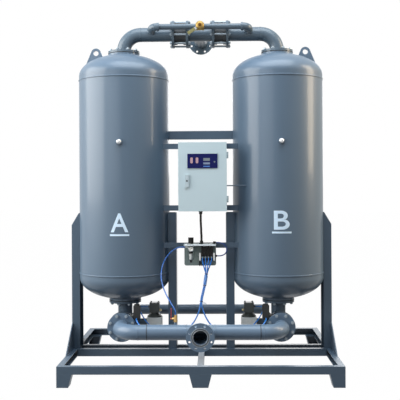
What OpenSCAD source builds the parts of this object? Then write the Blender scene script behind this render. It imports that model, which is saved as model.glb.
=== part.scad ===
// Twin-tower desiccant air dryer on a skid: two dished pressure towers, flanged pipework above and
// below them, a control box with a hinged door, and a small pneumatic panel. Millimetres, Z up.
// The origin is at the centre of the skid's footprint on the floor. The front faces -Y.

/* [Skid] */
// Depth of the skid from front to back
skid_d = 1600; // [1500:10:2000]
// Height of the feet under the rails
foot_h = 100; // [60:5:160]
// Width of a corner foot at its top
foot_w = 115; // [100:5:150]
// Depth of a foot
foot_d = 100; // [70:5:140]
// How much a foot narrows on its sloping side
foot_taper = 26; // [0:1:40]
// Height of the channel rails
rail_h = 60; // [50:1:100]
// Flange width of the channel rails
rail_flange = 48; // [40:1:55]
// Wall of the rails and feet
rail_t = 5; // [4:0.5:8]
// Overall depth of the pair of bearers under the towers
bearer_span = 210; // [190:5:260]

/* [Towers] */
// Distance between the two tower axes
tower_pitch = 1300; // [1240:10:1500]
// Outer diameter of a tower
tower_od = 760; // [700:10:820]
// Wall of a tower
tower_wall = 10; // [6:1:16]
// Place of the tower axes behind the skid's centre line
tower_y = -60; // [-100:5:0]
// Height of the seam at the bottom of the shell
shell_z = 795; // [780:5:900]
// Length of the shell between its two seams
shell_len = 1620; // [1500:10:2200]
// Straight skirt of a head between its seam and its dish
head_skirt = 36; // [24:1:60]
// Depth of a head's dish
head_depth = 188; // [176:1:204]
// Height of a nozzle's pad above the crown of its head
pad_rise = 6; // [4:1:20]
// Height of the pressure tapping on the tower's front
port_z = 1880; // [1600:5:2200]
// Diameter of the tapping's boss
port_boss_d = 50; // [44:1:60]
// Height of the desiccant above its lower screen
bed_h = 1440; // [1200:10:1460]

/* [Legs] */
// Depth of a leg channel from front to back
leg_d = 160; // [130:5:190]
// Wall of a leg channel
leg_t = 6.5; // [5:0.5:10]
// Distance of a leg's outer face from the shell
leg_out = 60; // [55:1:80]
// Height of the top of the legs
leg_top = 1300; // [1000:10:1500]
// How far the outer legs' tops slope down
leg_slope = 100; // [40:5:160]
// Length of a gusset along the side rail
gusset_len = 300; // [150:10:400]
// Height of a gusset
gusset_h = 220; // [120:10:300]
// Thickness of a gusset
gusset_t = 8; // [5:1:12]

/* [Lifting lugs] */
// Distance of a lug's eye from the tower axis
lug_x = 238; // [210:1:246]
// Height of a lug's eye above the shell's upper seam
lug_rise = 240; // [232:1:264]
// Diameter of a lug's eye
lug_eye_d = 43; // [30:1:50]
// Outer radius of a lug round its eye
lug_r = 42; // [38:1:50]
// Width of a lug at its foot
lug_foot = 200; // [170:1:206]
// Thickness of a lug
lug_t = 20; // [12:1:30]

/* [Flanges] */
// Diameter of the tower flanges
big_flange_d = 268; // [262:1:276]
// Bolt circle of the tower flanges
big_pcd = 228; // [224:1:232]
// Diameter of the inlet valve flanges
elbow_flange_d = 234; // [230:1:242]
// Bolt circle of the inlet valve flanges
elbow_pcd = 198; // [195:1:202]
// Diameter of the inlet and outlet flanges
line_flange_d = 220; // [214:1:235]
// Bolt circle of the inlet and outlet flanges
line_pcd = 180; // [178:1:184]
// Diameter of the check valve flanges
check_flange_d = 232; // [230:1:240]
// Bolt circle of the check valve flanges
check_pcd = 200; // [197:1:204]
// Angle by which the check valve studs are turned from the top
check_turn = 10; // [0:1:22]
// Thickness of every flange
flange_t = 20; // [16:1:24]
// Thickness of every gasket
gasket_t = 3; // [2:0.5:4]
// Diameter of a flange bolt
bolt_d = 16; // [12:1:16]
// Play of a bolt in its hole
bolt_play = 2; // [1:0.5:4]

/* [Upper pipes] */
// Outer diameter of the upper pipes
top_pipe_d = 118; // [108:0.5:122]
// Wall of every large pipe
pipe_wall = 5; // [3:0.5:7]
// Bend radius of the upper elbows
top_elbow_r = 142; // [130:1:170]
// Distance from the centre to a flange face of the outlet tee
tee_end = 120; // [116:1:140]
// Length of a check valve
check_valve_t = 92; // [70:1:110]
// Diameter of a check valve's body
check_valve_d = 172; // [150:1:176]
// Distance of the outlet flange's face behind the tower axes
outlet_reach = 360; // [260:5:460]
// Diameter of the purge pipe
purge_d = 48; // [38:1:54]
// Wall of the purge pipe
purge_wall = 4; // [3:0.5:6]
// Distance of the purge pipe in front of the main pipe
purge_y = 150; // [140:1:190]
// Height of the purge pipe above the main pipe
purge_rise = 36; // [0:1:60]
// Distance of the purge branches from the centre
purge_x = 407; // [380:1:430]
// Bend radius of the purge elbows
purge_elbow_r = 48; // [44:1:64]
// Diameter of the collars on the purge fittings
collar_d = 68; // [62:1:74]
// Length of the collars on the purge fittings
collar_l = 20; // [12:1:26]

/* [Purge valve] */
// Half length of the purge valve between its ends
purge_valve_half = 34; // [32:1:60]
// Diameter of the purge valve's round body
purge_valve_d = 60; // [56:1:70]
// Distance of the lever in front of the purge valve's axis
purge_stem = 52; // [46:1:70]
// Length of the purge valve's lever
purge_lever_l = 118; // [90:1:140]
// Angle of the lever below the pipe
purge_lever_angle = 34; // [0:1:90]

/* [Lower pipes] */
// Outer diameter of the lower pipes
low_pipe_d = 121; // [114:1:126]
// Height of the lower pipes' axes
line_z = 370; // [350:5:380]
// Distance of the tee's front flange face from the tower axis
tee_reach = 204; // [195:1:230]
// Thickness of an inlet valve between its flanges
wafer_t = 44; // [36:1:56]
// Diameter of an inlet valve's body
wafer_d = 176; // [166:1:178]
// Bend radius of the inlet elbows
low_elbow_r = 155; // [150:1:190]
// Straight length between an inlet elbow and its flange
elbow_tail = 53; // [20:1:60]
// Half length of the inlet tee
inlet_tee_half = 113; // [100:1:130]
// Distance of the inlet flange's face in front of the inlet pipe
inlet_reach = 220; // [150:1:230]
// How much smaller a branch is than the pipe that it leaves
branch_step = 2; // [1:0.5:6]

/* [Exhaust] */
// Outer diameter of the exhaust pipe
exhaust_d = 89; // [76:1:102]
// Outer diameter of the exhaust branches
exhaust_branch_d = 60; // [48:1:66]
// Wall of the exhaust pipes
exhaust_wall = 4; // [3:0.5:6]
// Height of the exhaust pipe above the lower pipes
exhaust_rise = 28; // [20:1:32]
// Distance of the exhaust pipe behind the tower axes
exhaust_back = 500; // [440:5:600]
// Half length of the exhaust pipe
exhaust_half = 570; // [500:5:640]
// Length of the exhaust stub behind its pipe
exhaust_stub = 150; // [60:5:180]
// Width of an exhaust valve's body
exhaust_valve_w = 126; // [110:1:140]
// Distance of an exhaust valve's axis from the tower axis
exhaust_valve_x = 250; // [230:1:254]
// Width of an exhaust valve's actuator
actuator_w = 82; // [70:1:86]
// Height of an exhaust valve's actuator
actuator_h = 80; // [64:1:88]

/* [Inlet actuators] */
// Distance of an inlet actuator's axis beside the pipe's axis
inlet_actuator_x = 122; // [120:1:136]
// Height of an inlet actuator's centre above the pipe's axis
inlet_actuator_z = 120; // [118:1:132]
// Width of an inlet actuator
inlet_actuator_w = 56; // [48:1:58]
// Height of an inlet actuator
inlet_actuator_l = 130; // [116:1:130]

/* [Control box] */
// Width of the control box
box_w = 390; // [340:5:430]
// Height of the control box
box_h = 555; // [540:5:650]
// Depth of the control box behind its door
box_d = 170; // [150:5:200]
// Sheet of the control box
box_wall = 3; // [2:0.5:4]
// Lip round the front of the control box
box_lip = 14; // [8:1:20]
// Height of the bottom of the control box
box_z = 1319; // [1290:1:1340]
// Place of the control box to the right of the centre
box_x = 18; // [0:1:30]
// Thickness of the door
door_t = 20; // [16:1:26]
// Gap between the door and the box
door_gap = 0.5; // [0.3:0.1:0.9]
// Distance of the hinge pins from the side of the box
hinge_out = 8; // [7:0.5:10]
// Diameter of a hinge knuckle
knuckle_d = 12; // [10:0.5:13]
// Diameter of a hinge pin
pin_d = 6; // [4:0.5:7]
// Width of the display
display_w = 242; // [200:1:260]
// Height of the display
display_h = 116; // [90:1:140]
// Height of the display's centre above the bottom of the box
display_rise = 404; // [380:1:430]
// Distance of the straps in front of the tower axes
strap_y = 170; // [160:1:190]
// Height of a strap
strap_h = 45; // [30:1:60]
// Thickness of a strap
strap_t = 8; // [5:0.5:12]

/* [Tie bar] */
// Height of the middle of the tie bar
tie_z = 1954; // [1920:1:2100]
// Height of the tie bar's section
tie_h = 70; // [50:1:80]
// Depth of the tie bar's section
tie_d = 40; // [30:1:60]

/* [Pneumatic panel] */
// Width of the panel
panel_w = 262; // [250:1:300]
// Height of the panel
panel_h = 183; // [170:1:220]
// Sheet of the panel
panel_t = 4; // [3:0.5:6]
// Height of the panel's shelf
shelf_z = 1048; // [1030:1:1060]
// Depth of the panel's shelf
shelf_d = 96; // [90:1:120]
// Place of the panel beside the centre
panel_x = -7; // [-15:1:5]
// Height of the bar that carries the panel
panel_bar_z = 1010; // [990:1:1020]
// Diameter of the regulator's knob
knob_d = 44; // [38:1:50]
// Height of the regulator's knob
knob_h = 48; // [36:1:60]
// Width of one solenoid valve
solenoid_w = 22; // [18:0.5:23]
// Spacing of the solenoid valves
solenoid_pitch = 25; // [24:0.5:27]

/* [Sample valve] */
// Place of the sample valve on the inlet pipe, from the centre
sample_x = 199; // [180:1:240]
// Length of the sample valve's lever
sample_lever_l = 84; // [60:1:100]

/* [Tubes] */
// Diameter of the air tubes
air_tube_d = 10; // [8:1:10]
// Diameter of the control cable
cable_d = 18; // [12:1:18]

/* [Hidden] */
$fn = 64;
// Gap at which a curved piece seats on another
seat_gap = 0.3;
// Overlap of cutting shapes past the faces that they cut
eps = 1;
bolt_count = 8;
tower_x = tower_pitch / 2;
tower_r = tower_od / 2;
skid_w = tower_pitch + tower_od + 2 * leg_out;
rail_top = foot_h + rail_h;
head_rise = head_skirt + head_depth + pad_rise;
pad_hole = 14;
nut_d = bolt_d * 1.72;
nut_h = bolt_d * 0.8;
stud_spare = bolt_d * 0.3;
shell_top = shell_z + shell_len;
top_face = shell_top + head_rise;
low_face = shell_z - head_rise;
top_bore = top_pipe_d - 2 * pipe_wall;
low_bore = low_pipe_d - 2 * pipe_wall;
nozzle_bore = low_bore;
hole_d = bolt_d + bolt_play;
main_z = top_face + gasket_t + flange_t + top_elbow_r;
outer_flange_x = tee_end + 2 * gasket_t + check_valve_t;
purge_len = norm([purge_y, purge_rise]);
purge_tilt = atan2(purge_rise, purge_y);
wafer_y = tee_reach + gasket_t;
elbow_face = wafer_y + wafer_t + gasket_t;
header_y = elbow_face + flange_t + elbow_tail + low_elbow_r;
tee_bottom = line_z - low_pipe_d / 2 - 14;
exhaust_valve_mid = tower_x - exhaust_valve_x;
exhaust_inlet_end = exhaust_valve_mid + exhaust_valve_w / 2;
valve_body_d = 120;
valve_body_top = line_z + 45;
bonnet_h = 40;
bonnet_d = 122;
fitting_l = 14;
fitting_d = 17;
box_back = tower_y - strap_y;
box_front = box_back - box_d;
door_back = box_front - door_gap;
door_front = door_back - door_t;
hinge_x = box_x + box_w / 2 + hinge_out;
hinge_y = box_front - 5;
hinge_zs = [box_z + 70, box_z + box_h - 130];
lock_x = box_x - box_w / 2 + 70;
lock_z = box_z + box_h / 2 - 2.5;
lock_hole_d = 14;
panel_front = box_back - panel_t;
regulator_x = panel_x - 75;
regulator_y = panel_front - 50;
regulator_w = 44;
regulator_h = 48;
manifold_x0 = panel_x - 8;
manifold_d = 34;
manifold_h = 58;
manifold_z = shelf_z - panel_t - 135;
solenoid_h = 70;
valve_ports = [for (i = [0:3]) manifold_x0 + 28 + i * solenoid_pitch];
manifold_w = 54 + 3 * solenoid_pitch;
header_abs_y = tower_y - header_y;
sample_z = line_z + low_pipe_d / 2;
sample_body_h = 56;
sample_stub_h = 22;
sample_stem = 32;
gland_x = box_x - 18;
gland_y = box_front + box_d / 2;
gland_h = 26;
shelf_gland_x = panel_x + 12;
shelf_gland_y = panel_front - 51;
port_y = panel_front - manifold_d - 11;
port_z_low = manifold_z + 23;
feed_y = panel_front - manifold_d / 2;
feed_z = manifold_z + 37;
feed_end_x = manifold_x0 + manifold_w + 18;
shelf_fitting = [panel_x + panel_w / 2 - 20, panel_front - 47, shelf_z + 10];
regulator_port_z = shelf_z - 26;
regulator_port_x = regulator_x - regulator_w / 2 - 26;
regulator_stem_d = 14;
boss_out = 16;
plug_hole = port_boss_d * 0.56;
knuckle_l = 26;
screen_t = 10;
screen_r = tower_r - tower_wall - seat_gap;
bed_z = shell_z + 2 + screen_t;
purge_collar_z = purge_len - purge_elbow_r - collar_l;
purge_elbow_d = collar_d - 6;
stem_d = 12;
lever_t = 5;
lever_w = 22;
actuator_boss = 8;
actuator_depth = wafer_t + 2;
display_hole = [display_w - 24, display_h - 24];
exhaust_z = line_z + exhaust_rise;
exhaust_branch_z = line_z + exhaust_rise * 0.55;
exhaust_port_z = bonnet_h + actuator_h * 0.56;
exhaust_port = [exhaust_valve_mid + actuator_w / 2 + fitting_l, tower_y, valve_body_top + exhaust_port_z];
inlet_actuator_at = [tower_x - inlet_actuator_x, tower_y - wafer_y - wafer_t / 2, line_z + inlet_actuator_z];
inlet_port_drop = inlet_actuator_l * 0.38;
inlet_port = inlet_actuator_at - [0, actuator_depth / 2 + actuator_boss, inlet_port_drop];

paint = [0.36, 0.42, 0.48];
pale_paint = [0.72, 0.77, 0.80];
dark_steel = [0.16, 0.17, 0.18];
zinc = [0.68, 0.69, 0.70];
brass = [0.78, 0.60, 0.28];
black = [0.06, 0.06, 0.07];
tube_blue = [0.10, 0.35, 0.85];

// Routes of the tubes and the cable: their ends come from the fittings, the points between were chosen by eye
supply_route = [
    [regulator_port_x, regulator_y, regulator_port_z], [regulator_port_x - 22, regulator_y, regulator_port_z],
    [-182, -286, 1018], [-212, -290, 1006], [-246, -300, 982], [-275, -312, 950], [-298, -328, 912],
    [-313, -348, 870], [-320, -370, 830], [-320, -395, 790], [-312, -420, 748], [-298, -445, 705],
    [-278, -470, 664], [-254, -496, 624], [-230, -519, 588], [-209, -536, 556],
    [-sample_x, header_abs_y, sample_z + sample_stub_h + sample_body_h + 22],
    [-sample_x, header_abs_y, sample_z + sample_stub_h + sample_body_h]
];
loop_route = [
    [feed_end_x, feed_y, feed_z], [feed_end_x + 18, feed_y, feed_z], [166, -254, 948], [183, -258, 954],
    [198, -264, 964], [208, -266, 978], [212, -268, 993], [211, -270, 1007], [206, -273, 1022], [197, -276, 1035],
    [184, -278, 1046], [168, -280, 1053], [152, -281, 1057],
    shelf_fitting + [34, 0, 0], shelf_fitting + [20, 0, 0]
];
cable_route = [
    [gland_x, gland_y, box_z - 17], [gland_x, gland_y, box_z - 49], [0, -313, 1240], [1, -310, 1215], [2, -305, 1188],
    [3, -299, 1160], [4, -293, 1132], [shelf_gland_x, shelf_gland_y, shelf_z + 50],
    [shelf_gland_x, shelf_gland_y, shelf_z + 16]
];
// Where a bundled tube runs before it fans out: beside and behind its neighbours
function bundle(x, y) = [
    [x + 38, y - 273, 800], [x + 31, y - 277, 752], [x + 22, y - 282, 700], [x + 11, y - 286, 652],
    [x, y - 290, 605], [x - 6, y - 294, 555]
];
exhaust_head_a = concat([[valve_ports[0], port_y, port_z_low], [valve_ports[0], port_y, port_z_low - 15],
    [18, -278, 880], [28, -275, 842]], bundle(0, 0));
inlet_head_a = concat([[valve_ports[1], port_y, port_z_low], [valve_ports[1], port_y, port_z_low - 15],
    [38, -281, 880], [38, -283, 842]], bundle(0, -12));
inlet_head_b = concat([[valve_ports[2], port_y, port_z_low], [valve_ports[2], port_y, port_z_low - 15],
    [57, -281, 880], [51, -283, 842]], bundle(11, -12));
exhaust_head_b = concat([[valve_ports[3], port_y, port_z_low], [valve_ports[3], port_y, port_z_low - 15],
    [77, -278, 880], [62, -275, 842]], bundle(11, 0));
exhaust_tail = [
    [18, -297, 500], [42, -299, 442], [76, -301, 392], [130, -302, 352], [200, -298, 336], [270, -290, 330],
    [340, -276, 336], [400, -254, 356], [448, -224, 390], [484, -190, 430], exhaust_port + [57, -88, -30],
    exhaust_port + [70, -45, -6], exhaust_port + [58, -12, 0], exhaust_port + [30, 0, 0], exhaust_port + [15, 0, 0],
    exhaust_port
];
inlet_tail = [
    [18, -309, 500], [42, -312, 442], [76, -315, 392], [130, -320, 352], [190, -330, 335], [255, -346, 329],
    [320, -366, 331], [380, -386, 341], [430, -402, 357], [472, -408, 381], inlet_port + [-27, -78, -34],
    inlet_port + [-10, -57, -14], inlet_port + [-1, -34, -2], inlet_port + [0, -17, 0], inlet_port
];

// Shapes that several sub-parts share

module along_x() { rotate([0, 90, 0]) children(); }

module along_back() { rotate([-90, 0, 0]) children(); }

module along_front() { rotate([90, 0, 0]) children(); }

// Draws its children, which are modelled for tower B on the right, on one side of the dryer
module on_side(s) { mirror([s < 0 ? 1 : 0, 0, 0]) children(); }

module both_sides() { for (s = [-1, 1]) on_side(s) children(); }

module bolt_ring(pcd, turn) {
    for (i = [0:bolt_count - 1]) rotate([0, 0, turn + i * 360 / bolt_count])
        translate([pcd / 2, 0, 0]) children();
}

module drilled_plate(d, pcd, turn) {
    difference() {
        cylinder(d = d, h = flange_t);
        translate([0, 0, -eps]) bolt_ring(pcd, turn) cylinder(d = hole_d, h = flange_t + 2 * eps);
    }
}

// A stud with a nut at each end, its grip starting at z = 0
module stud(grip) {
    end = nut_h + stud_spare;
    translate([0, 0, -end]) cylinder(d = bolt_d, h = grip + 2 * end);
    for (z = [-nut_h, grip]) translate([0, 0, z]) cylinder(d = nut_d, h = nut_h, $fn = 6);
}

// A stud that is screwed into a pad whose face is at z = 0, with a nut on the flange above it
module pad_stud() {
    grip = gasket_t + flange_t;
    foot = seat_gap - pad_hole;
    translate([0, 0, foot]) cylinder(d = bolt_d, h = grip + nut_h + stud_spare - foot);
    translate([0, 0, grip]) cylinder(d = nut_d, h = nut_h, $fn = 6);
}

module ring(od, id, h) {
    difference() {
        cylinder(d = od, h = h);
        translate([0, 0, -eps]) cylinder(d = id, h = h + 2 * eps);
    }
}

// A quarter bend from +Z at [r, 0, 0] round to -X at [0, 0, r]
module elbow(r, d) { rotate([90, 0, 0]) rotate_extrude(angle = 90) translate([r, 0]) circle(d = d); }

// Channel along X with its web at y = 0 and its flanges to +Y, its ends cut square
module channel(len, h, flange) {
    translate([-len / 2, 0, 0]) rotate([90, 0, 90]) linear_extrude(len) difference() {
        square([flange, h]);
        translate([rail_t, rail_t]) square([flange, h - 2 * rail_t]);
    }
}

// The same channel with its ends mitred for a corner
module mitred_channel(len) {
    intersection() {
        channel(len, rail_h, rail_flange);
        translate([0, 0, -eps]) linear_extrude(rail_h + 2 * eps) polygon([
            [-len / 2, 0], [len / 2, 0], [len / 2 - rail_flange, rail_flange], [rail_flange - len / 2, rail_flange]
        ]);
    }
}

function on_skirt(p) = [for (q = p) [q[0], q[1] + head_skirt]];
function arc_points(a, b, from, to, steps) =
    [for (i = [0:steps]) let (t = from + (to - from) * i / steps) [a * cos(t), b * sin(t)]];

// A round tube of 8 sides swept along a route
function unit(v) = v / norm(v);
function heading(p, i) = unit(p[min(i + 1, len(p) - 1)] - p[max(i - 1, 0)]);
function sweep_ring(p, i, d, side) =
    let (t = heading(p, i), u = unit(cross(t, side)), v = cross(t, u))
    [for (k = [0:7]) p[i] + d / 2 * (u * cos(45 * k) + v * sin(45 * k))];
module swept_tube(p, d, side) {
    n = len(p);
    points = [for (i = [0:n - 1]) each sweep_ring(p, i, d, side)];
    walls = [for (i = [0:n - 2], k = [0:7])
        [8 * i + k, 8 * (i + 1) + k, 8 * (i + 1) + (k + 1) % 8, 8 * i + (k + 1) % 8]];
    ends = [[for (k = [0:7]) k], [for (k = [7:-1:0]) 8 * (n - 1) + k]];
    polyhedron(points, concat(walls, ends));
}

// Skid

module skid_end_rails() {
    color(paint) for (turn = [0, 180]) rotate([0, 0, turn])
        translate([0, -skid_d / 2, foot_h]) mitred_channel(skid_w);
}

module skid_side_rails() {
    color(paint) for (turn = [90, 270]) rotate([0, 0, turn])
        translate([0, -skid_w / 2, foot_h]) mitred_channel(skid_d);
}

module skid_bearers() {
    color(paint) translate([0, tower_y, foot_h]) for (turn = [0, 180]) rotate([0, 0, turn])
        translate([0, -bearer_span / 2, 0]) channel(skid_w - 2 * rail_flange, rail_h, rail_flange);
}

module skid_ties() {
    front = -skid_d / 2 + rail_flange;
    back = skid_d / 2 - rail_flange;
    spans = [[front, tower_y - bearer_span / 2], [tower_y + bearer_span / 2, back]];
    color(paint) for (s = spans) translate([rail_flange / 2, (s[0] + s[1]) / 2, foot_h])
        rotate([0, 0, 90]) channel(s[1] - s[0], rail_h, rail_flange);
}

// A folded pedestal foot, open at the back, from its outer corner towards -X and +Y
module foot(w, taper_left, taper_right) {
    outline = [[-w, foot_h], [0, foot_h], [-taper_right, 0], [taper_left - w, 0]];
    difference() {
        translate([0, foot_d, 0]) along_front() linear_extrude(foot_d) polygon(outline);
        translate([0, foot_d + eps, 0]) along_front() linear_extrude(foot_d - rail_t + eps) polygon([
            [rail_t * 1.5 - w, foot_h - rail_t], [-rail_t * 1.5, foot_h - rail_t],
            [-taper_right - rail_t * 1.5, rail_t], [taper_left - w + rail_t * 1.5, rail_t]
        ]);
    }
}

module skid_feet() {
    centre_w = foot_w * 1.48;
    color(paint) for (turn = [0, 180]) rotate([0, 0, turn]) translate([0, -skid_d / 2, 0]) {
        both_sides() translate([skid_w / 2, 0, 0]) foot(foot_w, foot_taper, 0);
        translate([centre_w / 2, 0, 0]) foot(centre_w, foot_taper, foot_taper);
    }
}

// Legs and towers, each modelled for tower B

module leg_section() {
    half = leg_d / 2;
    tip = sqrt(tower_r * tower_r - half * half) - 1;
    difference() {
        translate([tip, -half]) square([tower_r + leg_out - tip, leg_d]);
        translate([tip - eps, leg_t - half]) square([tower_r + leg_out - tip - leg_t + eps, leg_d - 2 * leg_t]);
        circle(r = tower_r + seat_gap, $fn = 180);
    }
}

module legs() {
    outer = tower_r + leg_out;
    color(paint) translate([tower_x, tower_y, rail_top]) {
        difference() {
            union() {
                linear_extrude(leg_top - rail_top) leg_section();
                for (s = [-1, 1]) mirror([0, s < 0 ? 1 : 0, 0]) translate([outer - gusset_t, leg_d / 2 - eps, 0])
                    rotate([90, 0, 90]) linear_extrude(gusset_t)
                        polygon([[0, 0], [gusset_len + eps, 0], [eps, gusset_h], [0, gusset_h]]);
            }
            translate([0, leg_d / 2 + eps, leg_top - rail_top]) along_front() linear_extrude(leg_d + 2 * eps)
                polygon([[tower_r, 0], [outer + eps, -leg_slope * (leg_out + eps) / leg_out], [outer + eps, eps],
                    [tower_r, eps]]);
        }
        rotate([0, 0, 180]) linear_extrude(leg_top - rail_top) leg_section();
    }
}

module tower_a_legs() { on_side(-1) legs(); }

module tower_b_legs() { on_side(1) legs(); }

module shell() {
    color(paint) translate([tower_x, tower_y, 0]) difference() {
        union() {
            translate([0, 0, shell_z]) cylinder(d = tower_od, h = shell_len, $fn = 180);
            translate([0, 0, port_z]) along_front() cylinder(d = port_boss_d, h = tower_r + boss_out);
        }
        translate([0, 0, shell_z - eps]) cylinder(r = tower_r - tower_wall, h = shell_len + 2 * eps, $fn = 180);
        translate([0, 0, port_z]) along_front() cylinder(d = plug_hole, h = tower_r + boss_out + eps);
    }
}

module tower_a_shell() { on_side(-1) shell(); }

module tower_b_shell() { on_side(1) shell(); }

// A dished head on a straight skirt with its studded pad, from the seam at z = 0 to the pad's face at z = head_rise
module head() {
    inner_r = tower_r - tower_wall;
    pad_r = big_flange_d / 2;
    bore_r = nozzle_bore / 2;
    difference() {
        rotate_extrude($fn = 180) polygon(concat(
            [[inner_r, 0], [tower_r, 0]],
            on_skirt(arc_points(tower_r, head_depth, 0, acos(pad_r / tower_r), 22)),
            [[pad_r, head_rise], [bore_r, head_rise]],
            on_skirt(arc_points(inner_r, head_depth - tower_wall, acos(bore_r / inner_r), 0, 22))
        ));
        translate([0, 0, head_rise - pad_hole]) bolt_ring(big_pcd, 22.5)
            cylinder(d = bolt_d + 2 * seat_gap, h = pad_hole + eps);
    }
}

module top_head() { color(paint) translate([tower_x, tower_y, shell_top]) head(); }

module bottom_head() { color(paint) translate([tower_x, tower_y, shell_z]) mirror([0, 0, 1]) head(); }

module tower_a_top_head() { on_side(-1) top_head(); }

module tower_b_top_head() { on_side(1) top_head(); }

module tower_a_bottom_head() { on_side(-1) bottom_head(); }

module tower_b_bottom_head() { on_side(1) bottom_head(); }

// Lug plates whose feet follow the curve of the heads
module lifting_lugs() {
    lean = 23;
    foot_z = head_skirt + head_depth * 0.4;
    shoulder = lug_r * [cos(lean), sin(lean)];
    outer = tower_r + seat_gap;
    crown = concat(on_skirt(arc_points(outer, head_depth + seat_gap, 0, 90, 26)), [[0, 0], [outer, 0]]);
    color(paint) both_sides() translate([tower_x, tower_y, shell_top]) difference() {
        translate([0, lug_t / 2, 0]) along_front() linear_extrude(lug_t) difference() {
            union() {
                translate([lug_x, lug_rise]) circle(r = lug_r);
                polygon([[lug_x - lug_foot / 2, foot_z], [lug_x + lug_foot / 2, foot_z],
                    [lug_x + shoulder[0], lug_rise + shoulder[1]], [lug_x - shoulder[0], lug_rise + shoulder[1]]]);
            }
            translate([lug_x, lug_rise]) circle(d = lug_eye_d);
        }
        rotate_extrude($fn = 180) polygon(crown);
    }
}

// Round-headed plugs in the tappings
module port_plugs() {
    shank_d = plug_hole - 2 * seat_gap;
    shank_l = boss_out + tower_wall;
    head_d = port_boss_d * 0.86;
    profile = concat([[0, 0], [shank_d / 2, 0], [shank_d / 2, shank_l]],
        [for (p = arc_points(head_d / 2, head_d / 2, 0, 90, 8)) [p[0], p[1] + shank_l]]);
    color(zinc) both_sides() translate([tower_x, tower_y - tower_r + tower_wall, port_z]) along_front()
        rotate_extrude() polygon(profile);
}

// Inside the towers

module flow_screen() {
    difference() {
        cylinder(r = screen_r, h = screen_t, $fn = 180);
        for (n = [1:3], i = [0:6 * n - 1]) rotate([0, 0, i * 60 / n])
            translate([n * screen_r / 3.8, 0, -eps]) cylinder(d = screen_r / 9, h = screen_t + 2 * eps, $fn = 24);
    }
}

module flow_screens() {
    color(zinc) both_sides() translate([tower_x, tower_y, 0]) {
        translate([0, 0, bed_z - screen_t]) flow_screen();
        translate([0, 0, bed_z + bed_h]) flow_screen();
    }
}

module desiccant_beds() {
    color([0.92, 0.90, 0.86]) both_sides() translate([tower_x, tower_y, bed_z])
        cylinder(r = screen_r, h = bed_h, $fn = 180);
}

// Bars between the towers, their ends fitted to the shells

module fitted_to_towers() {
    difference() {
        children();
        both_sides() translate([tower_x, tower_y, 0]) cylinder(r = tower_r + seat_gap, h = top_face, $fn = 180);
    }
}

module tie_bar() {
    wall = 5;
    color(paint) fitted_to_towers() translate([0, tower_y, tie_z]) difference() {
        cube([tower_pitch - tower_r, tie_d, tie_h], center = true);
        cube([tower_pitch, tie_d - 2 * wall, tie_h - 2 * wall], center = true);
    }
}

module cross_bar(z) {
    fitted_to_towers() translate([-tower_x + tower_r / 2, box_back, z])
        cube([tower_pitch - tower_r, strap_t, strap_h]);
}

// Two straps behind the control box, the bar that carries the pneumatic panel, and a thin stay beside the box
module cross_bars() {
    stay_d = 9;
    side = box_x + box_w / 2;
    color(paint) {
        for (z = [box_z, box_z + box_h - strap_h, panel_bar_z]) cross_bar(z);
        fitted_to_towers() translate([side, box_front + box_d / 2, box_z + box_h * 0.37]) along_x()
            cylinder(d = stay_d, h = tower_x - tower_r / 2 - side);
    }
}

// Gaskets and bolts of the flanged joints

module flange_gaskets() {
    color(dark_steel) both_sides() {
        translate([tower_x, tower_y, top_face]) ring(big_pcd - hole_d - 4, nozzle_bore, gasket_t);
        translate([tower_x, tower_y, low_face - gasket_t]) ring(big_pcd - hole_d - 4, nozzle_bore, gasket_t);
        for (x = [tee_end, outer_flange_x - gasket_t]) translate([x, tower_y, main_z])
            along_x() ring(check_pcd - hole_d - 4, top_bore, gasket_t);
        for (y = [tee_reach, elbow_face - gasket_t]) translate([tower_x, tower_y - y, line_z])
            along_front() ring(elbow_pcd - hole_d - 4, low_bore, gasket_t);
    }
}

module tower_flange_bolts() {
    color(zinc) both_sides() translate([tower_x, tower_y, 0]) {
        translate([0, 0, top_face]) bolt_ring(big_pcd, 22.5) pad_stud();
        translate([0, 0, low_face]) mirror([0, 0, 1]) bolt_ring(big_pcd, 22.5) pad_stud();
    }
}

// Outlet pipework above the towers

module outlet_pipe() {
    elbow_x = tower_x - top_elbow_r;
    straight = elbow_x - outer_flange_x;
    color(paint) translate([0, tower_y, 0]) difference() {
        union() {
            translate([tower_x, 0, top_face + gasket_t]) drilled_plate(big_flange_d, big_pcd, 22.5);
            translate([elbow_x, 0, main_z - top_elbow_r]) elbow(top_elbow_r, top_pipe_d);
            translate([outer_flange_x, 0, main_z]) along_x() cylinder(d = top_pipe_d, h = straight);
            translate([outer_flange_x, 0, main_z]) along_x() drilled_plate(check_flange_d, check_pcd, check_turn);
            translate([purge_x, 0, main_z]) rotate([90 - purge_tilt, 0, 0])
                cylinder(d = purge_d, h = purge_collar_z);
        }
        translate([tower_x, 0, top_face]) cylinder(d = top_bore, h = gasket_t + flange_t);
        translate([elbow_x, 0, main_z - top_elbow_r]) elbow(top_elbow_r, top_bore);
        translate([outer_flange_x - eps, 0, main_z]) along_x() cylinder(d = top_bore, h = straight + eps);
        translate([purge_x, 0, main_z]) rotate([90 - purge_tilt, 0, 0])
            cylinder(d = purge_d - 2 * purge_wall, h = purge_collar_z + eps);
    }
}

module outlet_pipe_a() { on_side(-1) outlet_pipe(); }

module outlet_pipe_b() { on_side(1) outlet_pipe(); }

module check_valves() {
    rib_d = check_valve_d - 16;
    color(dark_steel) both_sides() translate([tee_end + gasket_t, tower_y, main_z]) along_x() difference() {
        union() {
            cylinder(d = rib_d, h = check_valve_t);
            cylinder(d = check_valve_d, h = check_valve_t * 0.22);
            translate([0, 0, check_valve_t * 0.78]) cylinder(d = check_valve_d, h = check_valve_t * 0.22);
        }
        translate([0, 0, -eps]) cylinder(d = top_bore, h = check_valve_t * 0.3 + eps);
        translate([0, 0, check_valve_t * 0.7]) cylinder(d = top_bore, h = check_valve_t * 0.3 + eps);
    }
}

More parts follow.
